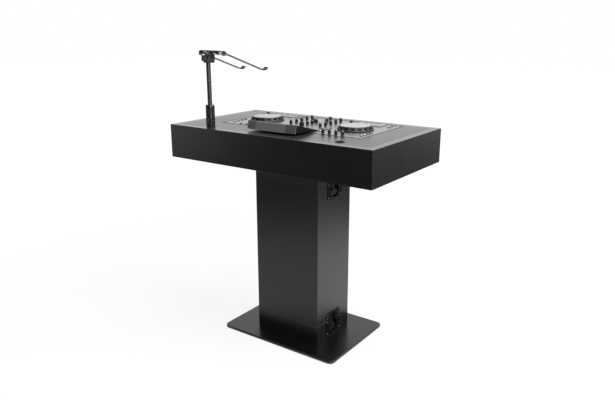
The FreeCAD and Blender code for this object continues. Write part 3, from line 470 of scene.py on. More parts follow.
@dataclass(frozen=True)
class DisplayHood(MouldedPlastic):
    """The display hood's plastic: matt flanks and slope, a rear cover polished to a gloss, a painted
    highlight on its rear corners.
    """

    low: Triple = (0.0, 0.0, 0.0)
    high: Triple = (0.0, 0.0, 0.0)
    cover_depth: float = 15 * MM
    cover_half: float = 78 * MM
    cover_edge: float = 0.5 * MM
    flank_edge: float = 0.3 * MM
    facet_share: float = 0.55
    corner_depth: float = 6 * MM
    corner_drop: float = 34.5 * MM
    lean: float = 8.0 / 34.5
    rub_width: float = 1.3 * MM
    rub_fade: float = 1.5
    # Colour of the painted highlight down the rear corners.
    rubbed: Colour = (0.11, 0.11, 0.112)
    gloss: float = 0.12
    gloss_index: float = 2.7

    def paint(self, bench: Bench) -> None:
        """Moulded texture with a clear gloss over the rear cover, and a pale line painted down the rear
        corners as a highlight.

        Args:
            bench: Where the nodes go.
        """
        super().paint(bench)
        side, flank, rear = abs(bench.x), self.high[0], self.low[1]
        # Painted highlight: a pale line down each rear vertical corner, standing in for light caught on the
        # edge.
        fade = self.rub_fade * self.rub_width
        height = bench.z - (self.high[2] - self.corner_drop)
        past = bench.y - (rear + self.corner_depth) - self.lean * height
        along = abs(past).fall(self.rub_width, fade)
        across = side.rise(flank - 2 * self.rub_width, flank - fade)
        bench.set(base_color=bench.blend(along * across, self.colour, self.rubbed))
        cover = bench.y.fall(rear + self.cover_depth, rear + self.cover_depth + MM)
        inside = side.fall(flank - self.cover_edge, flank - self.flank_edge)
        facet = side.fall(self.cover_half - self.cover_edge, self.cover_half + self.cover_edge)
        bench.set(coat_weight=cover * inside * facet.above(self.facet_share))
        bench.set(coat_roughness=self.gloss, coat_ior=self.gloss_index)


@dataclass(frozen=True)
class Rubber(Finish):
    """Soft moulded rubber: dusty patches and a fine sandblast texture."""

    dust: float = 55.0
    dust_span: Pair = (0.5, 0.8)
    dust_share: float = 0.3
    tones: Pair = (1.0, 1.7)
    sand: float = 2200.0
    sand_depth: float = 0.00008
    sand_swing: float = 0.1

    def paint(self, bench: Bench) -> None:
        """Dust in the colour and sand in the bump.

        Args:
            bench: Where the nodes go.
        """
        dust = bench.noise(self.dust, detail=4).rise(*self.dust_span)
        sand = bench.noise(self.sand)
        bench.set(base_color=self.toned(bench, dust * self.dust_share, self.tones))
        bench.set(roughness=self.roughness + sand.swing(self.sand_swing))
        bench.bump(sand, self.sand_depth)


@dataclass(frozen=True)
class BareMetal(Finish):
    """Bright metal, brushed along X or spun about a centre."""

    brushing: Brushing = Brushing.ALONG
    centre: Pair = (0.0, 0.0)
    contrast: float = 0.2
    brush: Triple = (9.0, 1100.0, 1100.0)
    turning: float = 1300.0
    streak_depth: float = 0.00003
    streak_strength: float = 0.3
    streak_swing: float = 0.18

    def streaks(self, bench: Bench) -> Link:
        """Fine lines of the brush or of the lathe.

        Args:
            bench: Where the nodes go.

        Returns:
            Streak values between 0 and 1.
        """
        if self.brushing is Brushing.ALONG:
            return bench.noise(1.0, detail=3, stretch=self.brush)
        reach = (bench.x - self.centre[0]).hypot(bench.y - self.centre[1])
        return bench.noise(self.turning, where=bench.add("ShaderNodeCombineXYZ", None, {0: reach}))

    def metal(self, bench: Bench) -> Link:
        """Lay the streaks in roughness and bump.

        Args:
            bench: Where the nodes go.

        Returns:
            The streaked colour.
        """
        lines = self.streaks(bench)
        bench.set(roughness=self.roughness + lines.swing(self.streak_swing))
        bench.bump(lines, self.streak_depth, self.streak_strength)
        return self.toned(bench, lines, (1 - self.contrast, 1 + self.contrast / 2))

    def paint(self, bench: Bench) -> None:
        """Streaks in colour, roughness and bump."""
        bench.set(base_color=self.metal(bench), metallic=1.0)


@dataclass(frozen=True)
class ControllerFace(BareMetal):
    """The controller's brushed panel with printed rings round the decks and frames round the mixer."""

    ink: Colour = (0.02, 0.02, 0.022)
    deck: Pair = (0.241, 0.048)
    ring: float = 0.0865
    line: float = 0.0007
    line_edge: Pair = (0.7, 1.3)
    mixer: float = 0.122
    strip: float = -0.086

    def paint(self, bench: Bench) -> None:
        """Brushed metal with ink over it.

        Args:
            bench: Where the nodes go.
        """
        side = abs(bench.x)
        reach = (side - self.deck[0]).hypot(bench.y - self.deck[1])
        strip = self.stroke(bench.y - self.strip) * side.rise(self.mixer - MM, self.mixer)
        ink = self.stroke(reach - self.ring).most(self.stroke(side - self.mixer)).most(strip)
        bench.set(base_color=bench.blend(ink, self.metal(bench), self.ink), metallic=1 - ink)

    def stroke(self, offset: Link) -> Link:
        """1 on a printed line, whose middle has the offset 0, and 0 off it."""
        return abs(offset).fall(*(self.line * share for share in self.line_edge))


@dataclass(frozen=True)
class Plywood(Finish):
    """Bare birch plywood: pale faces with darker plies across the height."""

    ply: float = 2.8 * MM
    grain: Triple = (14.0, 160.0, 160.0)
    grain_share: float = 0.5
    grain_depth: float = 0.2 * MM
    grain_swing: float = 0.1
    tones: Pair = (0.7, 1.25)

    def paint(self, bench: Bench) -> None:
        """Plies by height, and long grain.

        Args:
            bench: Where the nodes go.
        """
        grain = bench.noise(1.0, detail=4, stretch=self.grain)
        wave = (bench.z * (FULL_TURN / self.ply)).sine()
        share = self.grain_share * grain + (1 - self.grain_share) / 2 * (wave + 1)
        bench.set(base_color=self.toned(bench, share, self.tones))
        bench.set(roughness=self.roughness + grain.swing(self.grain_swing))
        bench.bump(grain, self.grain_depth)


@dataclass(frozen=True)
class ScreenGlass(Finish):
    """A switched-off screen under glass, with a deeper black border."""

    half_length: float = 104 * MM
    tones: Pair = (1.0, 0.3)
    marks: float = 70.0
    mark_span: Pair = (0.55, 0.8)
    mark_share: float = 0.15

    def paint(self, bench: Bench) -> None:
        """Border in the colour, finger marks in the roughness.

        Args:
            bench: Where the nodes go.
        """
        border = abs(bench.x).rise(self.half_length, self.half_length + MM)
        marks = bench.noise(self.marks, detail=4).rise(*self.mark_span)
        bench.set(base_color=self.toned(bench, border, self.tones))
        bench.set(roughness=self.roughness + self.mark_share * marks)


class Workshop:
    """Hand tools: add a primitive, pick faces and edges, shape them, finish the piece."""

    FLAT = 0.9
    NEAR = 0.01 * MM
    SMOOTH = math.radians(35)
    RING_EASE = 0.3
    SCREW_SIDES = 18
    SCREW_RIM = 0.55
    SCREW_RECESS = 0.7
    SCREW_EASE = 0.3

    @staticmethod
    def clear() -> None:
        """Deselect everything, so that operators act on the new piece alone."""
        if bpy.context.object and bpy.context.object.mode != "OBJECT":
            bpy.ops.object.mode_set(mode="OBJECT")
        bpy.ops.object.select_all(action="DESELECT")

    @classmethod
    def hold(cls, *pieces: Piece) -> None:
        """Select some pieces alone, with the first one active.

        Args:
            pieces: The pieces to work on.
        """
        cls.clear()
        for piece in pieces:
            piece.select_set(True)
        bpy.context.view_layer.objects.active = pieces[0]

    @staticmethod
    def label(piece: Piece, name: str) -> None:
        """Name a piece and its mesh."""
        piece.name = name
        piece.data.name = name

    @classmethod
    def start(cls, name: str) -> Piece:
        """Name the primitive that was just added, and keep its place in its mesh.

        Args:
            name: The piece's name.

        Returns:
            The piece.
        """
        piece = bpy.context.object
        cls.label(piece, name)
        bpy.ops.object.transform_apply(location=True, rotation=True, scale=True)
        return piece

    @classmethod
    def round_bar(cls, name: str, radius: float, height: float, base: Sequence[float],
                  axis: Axis, sides: int) -> Piece:
        """A closed cylinder from a base point along an axis.

        Args:
            name: The piece's name.
            radius: Its radius.
            height: Its length.
            base: Middle of its first end.
            axis: Where it points.
            sides: Faces round it.

        Returns:
            The piece.
        """
        cls.clear()
        centre = Vector(base) + axis.value * height / 2
        turn = axis.value.to_track_quat("Z", "Y").to_euler()
        bpy.ops.mesh.primitive_cylinder_add(vertices=sides, radius=radius, depth=height, location=centre,
                                            rotation=turn)
        return cls.start(name)

    @classmethod
    def slab(cls, name: str, low: Sequence[float], high: Sequence[float]) -> Piece:
        """A box between two corners.

        Args:
            name: The piece's name.
            low: Lowest corner.
            high: Highest corner.

        Returns:
            The piece.
        """
        cls.clear()
        low, high = Vector(low), Vector(high)
        bpy.ops.mesh.primitive_cube_add(size=1, location=(low + high) / 2, scale=high - low)
        return cls.start(name)

    @classmethod
    def pick_faces(cls, piece: Piece, wanted: Callable[[bpy.types.MeshPolygon], bool]) -> None:
        """Select the faces that a test accepts, and enter edit mode on faces.

        Args:
            piece: The piece to work on.
            wanted: The test.
        """
        cls.hold(piece)
        bpy.ops.object.mode_set(mode="EDIT")
        bpy.ops.mesh.select_mode(type="FACE")
        bpy.ops.mesh.select_all(action="DESELECT")
        bpy.ops.object.mode_set(mode="OBJECT")
        for face in piece.data.polygons:
            face.select = wanted(face)
        bpy.ops.object.mode_set(mode="EDIT")

    @classmethod
    def pick_end(cls, piece: Piece, direction: Vector) -> None:
        """Select the flat end that faces a direction and lies furthest along it.

        Args:
            piece: The piece to work on.
            direction: Where the end faces.
        """
        furthest = max(vertex.co.dot(direction) for vertex in piece.data.vertices)
        cls.pick_faces(piece, lambda face: face.normal.dot(direction) > cls.FLAT
                       and face.center.dot(direction) > furthest - cls.NEAR)

    @staticmethod
    def raise_picked(offset: Vector) -> None:
        """Extrude the picked region by a vector."""
        bpy.ops.mesh.extrude_region_move(TRANSFORM_OT_translate={"value": offset})

    @staticmethod
    def inset_picked(thickness: float) -> None:
        """Inset the picked region by a width."""
        bpy.ops.mesh.inset(thickness=thickness, use_even_offset=True)

    @classmethod
    def hollow(cls, piece: Piece, width: float, axis: Axis = Axis.Z) -> None:
        """Open a piece right through, with a wall left round it.

        Args:
            piece: The piece to open.
            width: The wall's width.
            axis: Which way the opening runs.
        """
        cls.pick_faces(piece, lambda face: abs(face.normal.dot(axis.value)) > cls.FLAT)
        cls.inset_picked(width)
        bpy.ops.mesh.bridge_edge_loops()

    @classmethod
    def cut_away(cls, piece: Piece, unwanted: Callable[[bpy.types.MeshPolygon], bool]) -> None:
        """Delete the faces that a test accepts, and close the ends that this leaves open.

        Args:
            piece: The piece to cut.
            unwanted: The test.
        """
        cls.pick_faces(piece, unwanted)
        bpy.ops.mesh.delete(type="FACE")
        cls.close_ends()

    @staticmethod
    def close_ends() -> None:
        """Fill the open ends of the piece that is being edited."""
        bpy.ops.mesh.select_mode(type="EDGE")
        bpy.ops.mesh.select_all(action="DESELECT")
        bpy.ops.mesh.select_non_manifold()
        bpy.ops.mesh.edge_face_add()
        bpy.ops.object.mode_set(mode="OBJECT")

    @classmethod
    def finish(cls, piece: Piece, ease: float = 0.0, segments: int = 2) -> Piece:
        """Ease the sharp edges and smooth the shading.

        Args:
            piece: The piece to finish.
            ease: Width of the eased edges, or 0 for none.
            segments: Faces across an eased edge.

        Returns:
            The piece.
        """
        cls.hold(piece)
        if ease:
            bevel = piece.modifiers.new("ease", "BEVEL")
            bevel.width = ease
            bevel.segments = segments
            bevel.limit_method = "ANGLE"
            bpy.ops.object.modifier_apply(modifier=bevel.name)
        bpy.ops.object.shade_smooth_by_angle(angle=cls.SMOOTH)
        return piece

    @classmethod
    def ring(cls, name: str, radius: float, width: float, height: float, sides: int,
             axis: Axis = Axis.Z) -> Piece:
        """A flat ring that stands on the origin, with eased edges.

        Args:
            name: The piece's name.
            radius: Its outer radius.
            width: Its width.
            height: Its height along the axis.
            sides: Faces round it.
            axis: Where its middle line points.

        Returns:
            The ring.
        """
        piece = cls.round_bar(name, radius, height, (0, 0, 0), axis, sides)
        cls.hollow(piece, width, axis)
        return cls.finish(piece, min(width, height) * cls.RING_EASE)

    @classmethod
    def screw(cls, radius: float, height: float) -> Piece:
        """A low screw head with a round recess.

        Args:
            radius: The head's radius.
            height: How far it stands up.

        Returns:
            The pattern, upright on the origin.
        """
        up = Axis.Z.value
        piece = cls.round_bar("screw_pattern", radius, height, (0, 0, 0), Axis.Z, cls.SCREW_SIDES)
        cls.pick_end(piece, up)
        cls.inset_picked(radius * cls.SCREW_RIM)
        cls.raise_picked(-up * height * cls.SCREW_RECESS)
        return cls.finish(piece, height * cls.SCREW_EASE)

    @classmethod
    def copy(cls, piece: Piece, name: str, change: Matrix) -> Piece:
        """A copy with its own mesh, moved in the mesh.

        Args:
            piece: The piece to copy.
            name: The copy's name.
            change: Where the copy goes.

        Returns:
            The copy.
        """
        twin = piece.copy()
        twin.data = piece.data.copy()
        cls.label(twin, name)
        twin.data.transform(change)
        bpy.context.collection.objects.link(twin)
        return twin

    @classmethod
    def join(cls, pieces: Sequence[Piece], name: str) -> Piece:
        """Join pieces into one.

        Args:
            pieces: The pieces to join.
            name: The joined piece's name.

        Returns:
            The joined piece.
        """
        cls.hold(*pieces)
        if len(pieces) > 1:
            bpy.ops.object.join()
        cls.label(pieces[0], name)
        return pieces[0]

    @classmethod
    def scatter(cls, pattern: Piece, places: Sequence[Matrix], name: str) -> Piece:
        """Copies of a pattern at several places, joined into one piece; the pattern goes.

        Args:
            pattern: The piece to repeat.
            places: Where the copies go.
            name: The joined piece's name.

        Returns:
            The joined piece.
        """
        copies = [cls.copy(pattern, name, place) for place in places]
        bpy.data.objects.remove(pattern)
        return cls.join(copies, name)


@dataclass
class Dressing:
    """A sub-assembly's added pieces, with the finishes they wear."""

    finishes: dict[str, bpy.types.Material]

    def dress(self, piece: Piece, body: str, slot: str, look: str | None = None) -> None:
        """Finish a piece and set it on a body.

        Args:
            piece: The new piece.
            body: The body it moves with.
            slot: The record's slot that its finish belongs to.
            look: Name of the finish, where it isn't the slot's own.
        """
        piece.data.materials.clear()
        piece.data.materials.append(self.finishes[look or slot])
        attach(piece, body)
        LOG.info("%s on %s", piece.name, body)

    def spread(self, pattern: Piece, places: Sequence[Matrix], name: str, body: str, slot: str,
               look: str | None = None) -> None:
        """Dress copies of a pattern at several places as one named piece."""
        self.dress(Workshop.scatter(pattern, places, name), body, slot, look)


@dataclass
class LatchHardware(Dressing):
    """Rivets and rolled lips of the four recessed latches."""

    plate: float = 1.5 * MM
    width: float = 112 * MM
    dish_height: float = 74 * MM
    keeper_height: float = 34 * MM
    well: float = 34.5 * MM
    channel: float = 23 * MM
    rivet_radius: float = 3.4 * MM
    rivet_height: float = 1.4 * MM
    rivet_inset: float = 8 * MM
    rivet_ease: float = 0.15 * MM
    rivet_sides: int = 16
    rivet_flange: float = 0.35
    rivet_rim: float = 0.25
    rivet_pull: float = 0.7
    lip_width: float = 1.8 * MM
    lip_height: float = 1.2 * MM
    lip_sides: int = 64

    def build(self) -> None:
        """Model the right-hand rivet and lip, and set them at both seams of both sides."""
        low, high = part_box("column_side_panels")
        lip = self.lip()
        for level, seam in (("lower", low.z), ("upper", high.z)):
            for hand in Hand:
                name = f"{level}_{hand.label}"
                side = Matrix.Rotation(0 if hand is Hand.RIGHT else math.pi, 4, "Z")
                at = side @ Matrix.Translation((high.x + self.plate, 0, seam))
                places = [at @ Matrix.Translation((0, y, z)) for y, z in self.rivet_places()]
                self.spread(self.rivet(), places, f"latch_rivets_{name}", "booth", "latch_black",
                            "rivet_steel")
                self.dress(Workshop.copy(lip, f"latch_lip_{name}", at), "booth", "latch_black", "worn_edge")
        bpy.data.objects.remove(lip)

    def rivet_places(self) -> list[Pair]:
        """Where the rivets are, across the plates and from the seam.

        Returns:
            Pairs of Y and Z.
        """
        reach = self.width / 2 - self.rivet_inset
        heights = (self.rivet_inset - self.dish_height, -self.rivet_inset, self.rivet_inset,
                   self.keeper_height - self.rivet_inset)
        return [(side * reach, height) for side in (-1, 1) for height in heights]

    def rivet(self) -> Piece:
        """A pop rivet: a domed flange with a pulled centre.

        Returns:
            The pattern rivet, at the origin.
        """
        out = Axis.X.value
        piece = Workshop.round_bar("rivet", self.rivet_radius, self.rivet_height / 2, (0, 0, 0), Axis.X,
                                   self.rivet_sides)
        Workshop.pick_end(piece, out)
        Workshop.inset_picked(self.rivet_radius * self.rivet_flange)
        bpy.ops.transform.translate(value=out * self.rivet_height / 2)
        Workshop.inset_picked(self.rivet_radius * self.rivet_rim)
        Workshop.raise_picked(-out * self.rivet_height * self.rivet_pull)
        return Workshop.finish(piece, self.rivet_ease)

    def lip(self) -> Piece:
        """The rolled lip round the well, open where the channel runs up to the seam.

        Returns:
            The pattern lip, with the seam at the origin's height.
        """
        piece = Workshop.ring("lip", self.well + self.lip_width, self.lip_width, self.lip_height,
                              self.lip_sides, Axis.X)
        Workshop.cut_away(piece, lambda face: abs(face.center.y) < self.channel / 2 and face.center.z > 0)
        piece.data.transform(Matrix.Translation((0, 0, -self.dish_height / 2)))
        return Workshop.finish(piece)


@dataclass
class ControllerTrim(Dressing):
    """Knob sleeves and pointers, fader lines and scales, jog marks, pad frames, rings and screws."""

    ease: float = 0.12 * MM
    knob_radius: float = 6 * MM
    knob_height: float = 20 * MM
    knob_base: float = 0.4 * MM
    browse_radius: float = 10 * MM
    sleeve_start: float = 3.2 * MM
    sleeve_height: float = 13 * MM
    sleeve_room: float = 0.2 * MM
    sleeve_ribs: int = 18
    rib: float = 0.45 * MM
    band_width: float = 1.3 * MM
    band_height: float = 1.6 * MM
    band_sides: int = 32
    pointer_width: float = 1.0 * MM
    mixer_column: float = 80 * MM
    eq_first: float = 60 * MM
    eq_pitch: float = 42 * MM
    trim_rows: tuple[int, int] = (-1, 3)
    strip: Pair = (176 * MM, -104 * MM)
    strip_pitch: float = 32 * MM
    strip_knobs: int = 4
    middle_first: float = 34 * MM
    middle_pitch: float = 36 * MM
    middle_knobs: int = 3
    travels: tuple[tuple[str, float], ...] = (
        ("channel_fader_left", 30 * MM), ("channel_fader_right", 30 * MM), ("tempo_fader_left", 40 * MM),
        ("tempo_fader_right", 40 * MM), ("crossfader", 24 * MM))
    fader_height: float = 15 * MM
    fader_hollow: float = 1.5 * MM
    cap_width: float = 14 * MM
    line_width: float = 1.2 * MM
    tick_width: float = 0.6 * MM
    tick_long: float = 4.8 * MM
    tick_short: float = 2.4 * MM
    ticks_each_side: int = 11
    print_height: float = 0.15 * MM
    ridge_width: float = 1.2 * MM
    ridge_height: float = 0.35 * MM
    ridge_shares: Pair = (0.3, 0.82)
    ridge_sides: int = 96
    mark_width: float = 5 * MM
    mark_bearings: Pair = (math.radians(114), math.radians(146))
    mark_spread: float = math.radians(10)
    mark_sides: int = 144
    pad_first: Pair = (-66 * MM, 184 * MM)
    pad_pitch: Pair = (35 * MM, 31 * MM)
    pad_grid: tuple[int, int] = (4, 2)
    pad_size: Pair = (30 * MM, 26 * MM)
    pad_frame: float = 1.6 * MM
    pad_border: float = 1.8 * MM
    pad_crown: float = 0.5 * MM
    crown_segments: int = 3
    play_first: Pair = (96 * MM, 184 * MM)
    play_pitch: float = 34 * MM
    play_rows: int = 2
    play_ring: float = 15.2 * MM
    play_sides: int = 48
    side_offset: float = 100 * MM
    side_first: float = -70 * MM
    side_pitch: float = 26 * MM
    side_rows: int = 4
    side_radius: float = 6 * MM
    collar_sides: int = 32
    pale_rows: int = 2
    cap_sides: int = 28
    cap_dish: float = 0.3
    screw_radius: float = 2.6 * MM
    screw_height: float = 0.35 * MM
    screw_inset: float = 9 * MM
    screw_shares: Pair = (0.3, 0.7)
    # Sizes of the thin black band on the insert round the panel.
    gasket_width: float = 3 * MM
    gasket_height: float = 0.8 * MM
    gasket_room: float = 0.4 * MM

    def __post_init__(self) -> None:
        """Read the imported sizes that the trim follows."""
        low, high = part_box("jog_plate_right")
        self.deck = middle("jog_plate_right")
        self.jog_plate = (high.x - low.x) / 2
        self.jog_top = high.z
        self.table_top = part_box("controller_panel")[1].z

    def build(self) -> None:
        """Model each kind of trim and set it on its body."""
        self.knobs()
        self.faders()
        self.jogs()
        self.buttons()
        self.pads()
        self.screws()
        self.gasket()

    def on_panel(self, x: float, y: float) -> Matrix:
        """A shift to a place on the panel's top."""
        return Matrix.Translation((x, y, self.table_top))

    def over(self, node: str) -> Matrix:
        """A shift to the panel's top at a node's middle."""
        return self.on_panel(*middle(node).to_2d())

    def decks(self) -> list[float]:
        """Where the left and the right deck's middles are along the table."""
        return [hand.value * self.deck.x for hand in Hand]

    def knobs(self) -> None:
        """Ribbed sleeves, bright bands and white pointers on every knob."""
        for node in sorted(name for name in frame["nodes"] if name.startswith("eq_knob_")):
            self.knob_set([self.over(node)], f"{node}_body", node.removeprefix("eq_knob_"))
        groups = {
            "strip": [(self.strip[0] + index * self.strip_pitch, self.strip[1])
                      for index in range(self.strip_knobs)],
            "trim": [(hand.value * self.mixer_column, self.eq_first + row * self.eq_pitch)
                     for hand in Hand for row in self.trim_rows],
            "middle": [(0.0, self.middle_first + index * self.middle_pitch)
                       for index in range(self.middle_knobs)],
        }
        for label, places in groups.items():
            self.knob_set([self.on_panel(*place) for place in places], "booth", label)
        browse = [self.on_panel(0, middle("browse_knob").y)]
        self.spread(self.sleeve(self.browse_radius), browse, "sleeve_browse", "browse", "knob_black")

    def knob_set(self, places: list[Matrix], body: str, label: str) -> None:
        """Sleeves, bands and pointers for knobs that move together.

        Args:
            places: Where the knobs stand.
            body: The body that they move with.
            label: End of the pieces' names.
        """
        self.spread(self.sleeve(self.knob_radius), places, f"sleeve_{label}", body, "knob_black")
        top = Matrix.Translation((0, 0, self.knob_base + self.sleeve_start + self.sleeve_height))
        band = Workshop.ring("band", self.knob_radius + self.rib, self.band_width, self.band_height,
                             self.band_sides)
        tops = [place @ top for place in places]
        self.spread(band, tops, f"band_{label}", body, "knob_black", "bright_trim")
        self.spread(self.pointer(), places, f"pointer_{label}", body, "knob_black", "white_ink")

    def sleeve(self, radius: float) -> Piece:
        """A knob's sleeve with upright ribs.

        Args:
            radius: The knob's own radius.

        Returns:
            The sleeve about the Z axis, above the panel.
        """
        base = (0, 0, self.knob_base + self.sleeve_start)
        piece = Workshop.round_bar("sleeve", radius + self.sleeve_room, self.sleeve_height, base, Axis.Z,
                                   2 * self.sleeve_ribs)
        step = FULL_TURN / (2 * self.sleeve_ribs)
        Workshop.pick_faces(piece, lambda face: abs(face.normal.z) < Workshop.FLAT
                            and math.floor(math.atan2(face.center.y, face.center.x) / step) % 2 == 0)
        bpy.ops.mesh.extrude_faces_move(TRANSFORM_OT_shrink_fatten={"value": self.rib})
        return Workshop.finish(piece, self.ease)

    def pointer(self) -> Piece:
        """The white line that fills a knob's groove.

        Returns:
            The pointer on the Y axis, above the panel.
        """
        top = self.knob_base + self.knob_height
        half = self.pointer_width / 2
        low = (-half, half, top - self.pointer_width)
        high = (half, self.knob_radius - self.pointer_width, top + self.ease)
        return Workshop.finish(Workshop.slab("pointer", low, high), self.ease)

    def faders(self) -> None:
        """A white line across each cap, and a printed scale beside each slot."""
        scale: list[Piece] = []
        for node, travel in self.travels:
            turn = Matrix.Rotation(math.pi / 2 if node == "crossfader" else 0, 4, "Z")
            at = self.over(node) @ turn
            self.spread(self.fader_line(), [at], f"line_{node}", f"{node}_cap", "fader_black", "white_ink")
            scale += self.ticks(at, travel)
        self.dress(Workshop.join(scale, "fader_scales"), "booth", "panel_silver", "black_ink")

    def fader_line(self) -> Piece:
        """The white line in a cap's finger hollow.

        Returns:
            The line along X, above the panel.
        """
        centre = Vector((0, 0, self.knob_base + self.fader_height - self.fader_hollow))
        half = Vector((self.cap_width / 2 + self.ease, self.line_width / 2, 2 * self.ease))
        return Workshop.finish(Workshop.slab("line", centre - half, centre + half), self.ease)

    def ticks(self, at: Matrix, travel: float) -> list[Piece]:
        """Printed ticks on both sides of a slot, longer at the ends and in the middle.

        Args:
            at: Place and turn of the slot's middle.
            travel: Half of the slot's stroke.

        Returns:
            The ticks.
        """
        marks = []
        half = self.tick_width / 2
        start = self.cap_width / 2 + self.line_width
        last = self.ticks_each_side - 1
        for index in range(self.ticks_each_side):
            y = travel * (2 * index / last - 1)
            end = start + (self.tick_long if 2 * index % last == 0 else self.tick_short)
            tick = Workshop.slab("tick", (start, y - half, 0), (end, y + half, self.print_height))
            Workshop.finish(tick, self.print_height / 3, 1)
            marks.append(Workshop.scatter(tick, [at, at @ Matrix.Rotation(math.pi, 4, "Z")], "ticks"))
        return marks

    def jogs(self) -> None:
        """Two fine ridges and two dark position marks on each jog plate."""
        for hand, deck in zip(Hand, self.decks()):
            body, look = f"jog_{hand.label}", f"jog_silver_{hand.label}"
            at = [Matrix.Translation((deck, self.deck.y, self.jog_top))]
            for index, share in enumerate(self.ridge_shares):
                ridge = Workshop.ring("ridge", self.jog_plate * share, self.ridge_width, self.ridge_height,
                                      self.ridge_sides)
                self.spread(ridge, at, f"jog_ridge_{hand.label}_{index}", body, "jog_silver", look)
            self.spread(self.jog_marks(), at, f"jog_marks_{hand.label}", body, "jog_black", "black_ink")

    def jog_marks(self) -> Piece:
        """Two dark arcs near the plate's rim.

        Returns:
            The marks about the plate's middle.
        """
        def between_marks(face: bpy.types.MeshPolygon) -> bool:
            """Whether a face lies away from both marks."""
            bearing = math.atan2(face.center.y, face.center.x)
            return all(abs(bearing - mark) > self.mark_spread for mark in self.mark_bearings)

        piece = Workshop.ring("marks", self.jog_plate, self.mark_width, self.ridge_height, self.mark_sides)
        Workshop.cut_away(piece, between_marks)
        return Workshop.finish(piece)

    def buttons(self) -> None:
        """Bright rings round the large buttons, and dark collars and pale caps on the small ones."""
        large = [self.on_panel(deck + self.play_first[0], self.play_first[1] + row * self.play_pitch)
                 for deck in self.decks() for row in range(self.play_rows)]
        ring = Workshop.ring("ring", self.play_ring, self.pad_border, self.line_width, self.play_sides)
        self.spread(ring, large, "button_rings", "booth", "button_dark", "bright_trim")
        small = [self.on_panel(deck + side.value * self.side_offset, self.side_first + row * self.side_pitch)
                 for deck in self.decks() for side in Hand for row in range(self.side_rows)]
        collar = Workshop.ring("collar", self.side_radius + self.pad_frame, self.pad_frame, self.line_width,
                               self.collar_sides)
        self.spread(collar, small, "button_collars", "booth", "button_dark", "black_ink")
        pale = [place for index, place in enumerate(small) if index % self.side_rows < self.pale_rows]
        self.spread(self.button_cap(), pale, "button_caps", "booth", "button_dark", "white_ink")

    def button_cap(self) -> Piece:
        """A pale dished cap on a small button.

        Returns:
            The cap above the panel.
        """
        up = Axis.Z.value
        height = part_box("deck_buttons")[1].z - self.table_top
        radius = self.side_radius - self.line_width
        piece = Workshop.round_bar("cap", radius, self.pad_crown, up * height, Axis.Z, self.cap_sides)
        Workshop.pick_end(piece, up)
        Workshop.inset_picked(radius * self.cap_dish)
        bpy.ops.transform.translate(value=-up * self.pad_crown / 2)
        return Workshop.finish(piece, self.ease)

    def pads(self) -> None:
        """A raised crown on each pad, and a dark frame round it."""
        columns, rows = self.pad_grid
        places = [self.on_panel(deck + self.pad_first[0] + column * self.pad_pitch[0],
                                self.pad_first[1] + row * self.pad_pitch[1])
                  for deck in self.decks() for column in range(columns) for row in range(rows)]
        self.spread(self.crown(), places, "pad_crowns", "booth", "pad_rubber")
        self.spread(self.frame_round_pad(), places, "pad_frames", "booth", "pad_rubber", "black_ink")

    def half_pad(self, more: float) -> Vector:
        """Half of a pad's size, with more on every side."""
        return Vector((self.pad_size[0] / 2 + more, self.pad_size[1] / 2 + more, 0))

    def crown(self) -> Piece:
        """The soft crown of a pad, with a narrow border left round it.

        Returns:
            The crown above the panel.
        """
        half = self.half_pad(-self.pad_border)
        rise = Vector((0, 0, self.pad_crown))
        centre = Vector((0, 0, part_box("performance_pads")[1].z - self.table_top))
        piece = Workshop.slab("crown", centre - half - rise, centre + half + rise)
        Workshop.pick_end(piece, Axis.Z.value)
        Workshop.inset_picked(self.pad_border)
        bpy.ops.transform.translate(value=rise)
        return Workshop.finish(piece, self.pad_crown, self.crown_segments)

    def frame_round_pad(self) -> Piece:
        """The dark frame that a pad stands in.

        Returns:
            The frame on the panel.
        """
        half = self.half_pad(self.pad_frame)
        piece = Workshop.slab("frame", -half, half + Vector((0, 0, self.line_width)))
        Workshop.hollow(piece, self.pad_frame - self.ease)
        return Workshop.finish(piece, self.ease)

    def screws(self) -> None:
        """Countersunk screws along the panel's edges."""
        low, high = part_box("controller_panel")
        columns = [low.x + self.screw_inset, high.x - self.screw_inset]
        columns += [low.x + share * (high.x - low.x) for share in self.screw_shares]
        rows = (low.y + self.screw_inset, high.y - self.screw_inset)
        places = [self.on_panel(x, y) for x in columns for y in rows]
        head = Workshop.screw(self.screw_radius, self.screw_height)
        self.spread(head, places, "panel_screws", "booth", "panel_silver", "rivet_steel")

    def gasket(self) -> None:
        """A thin black band laid on the insert all round the panel, along the gap between them."""
        low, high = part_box("controller_panel")
        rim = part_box("insert_plate")[1].z
        out = self.gasket_room + self.gasket_width
        piece = Workshop.slab("panel_gasket", (low.x - out, low.y - out, rim),
                              (high.x + out, high.y + out, rim + self.gasket_height))
        Workshop.hollow(piece, self.gasket_width)
        self.dress(Workshop.finish(piece, self.gasket_height / 3), "booth", "controller_case", "black_ink")


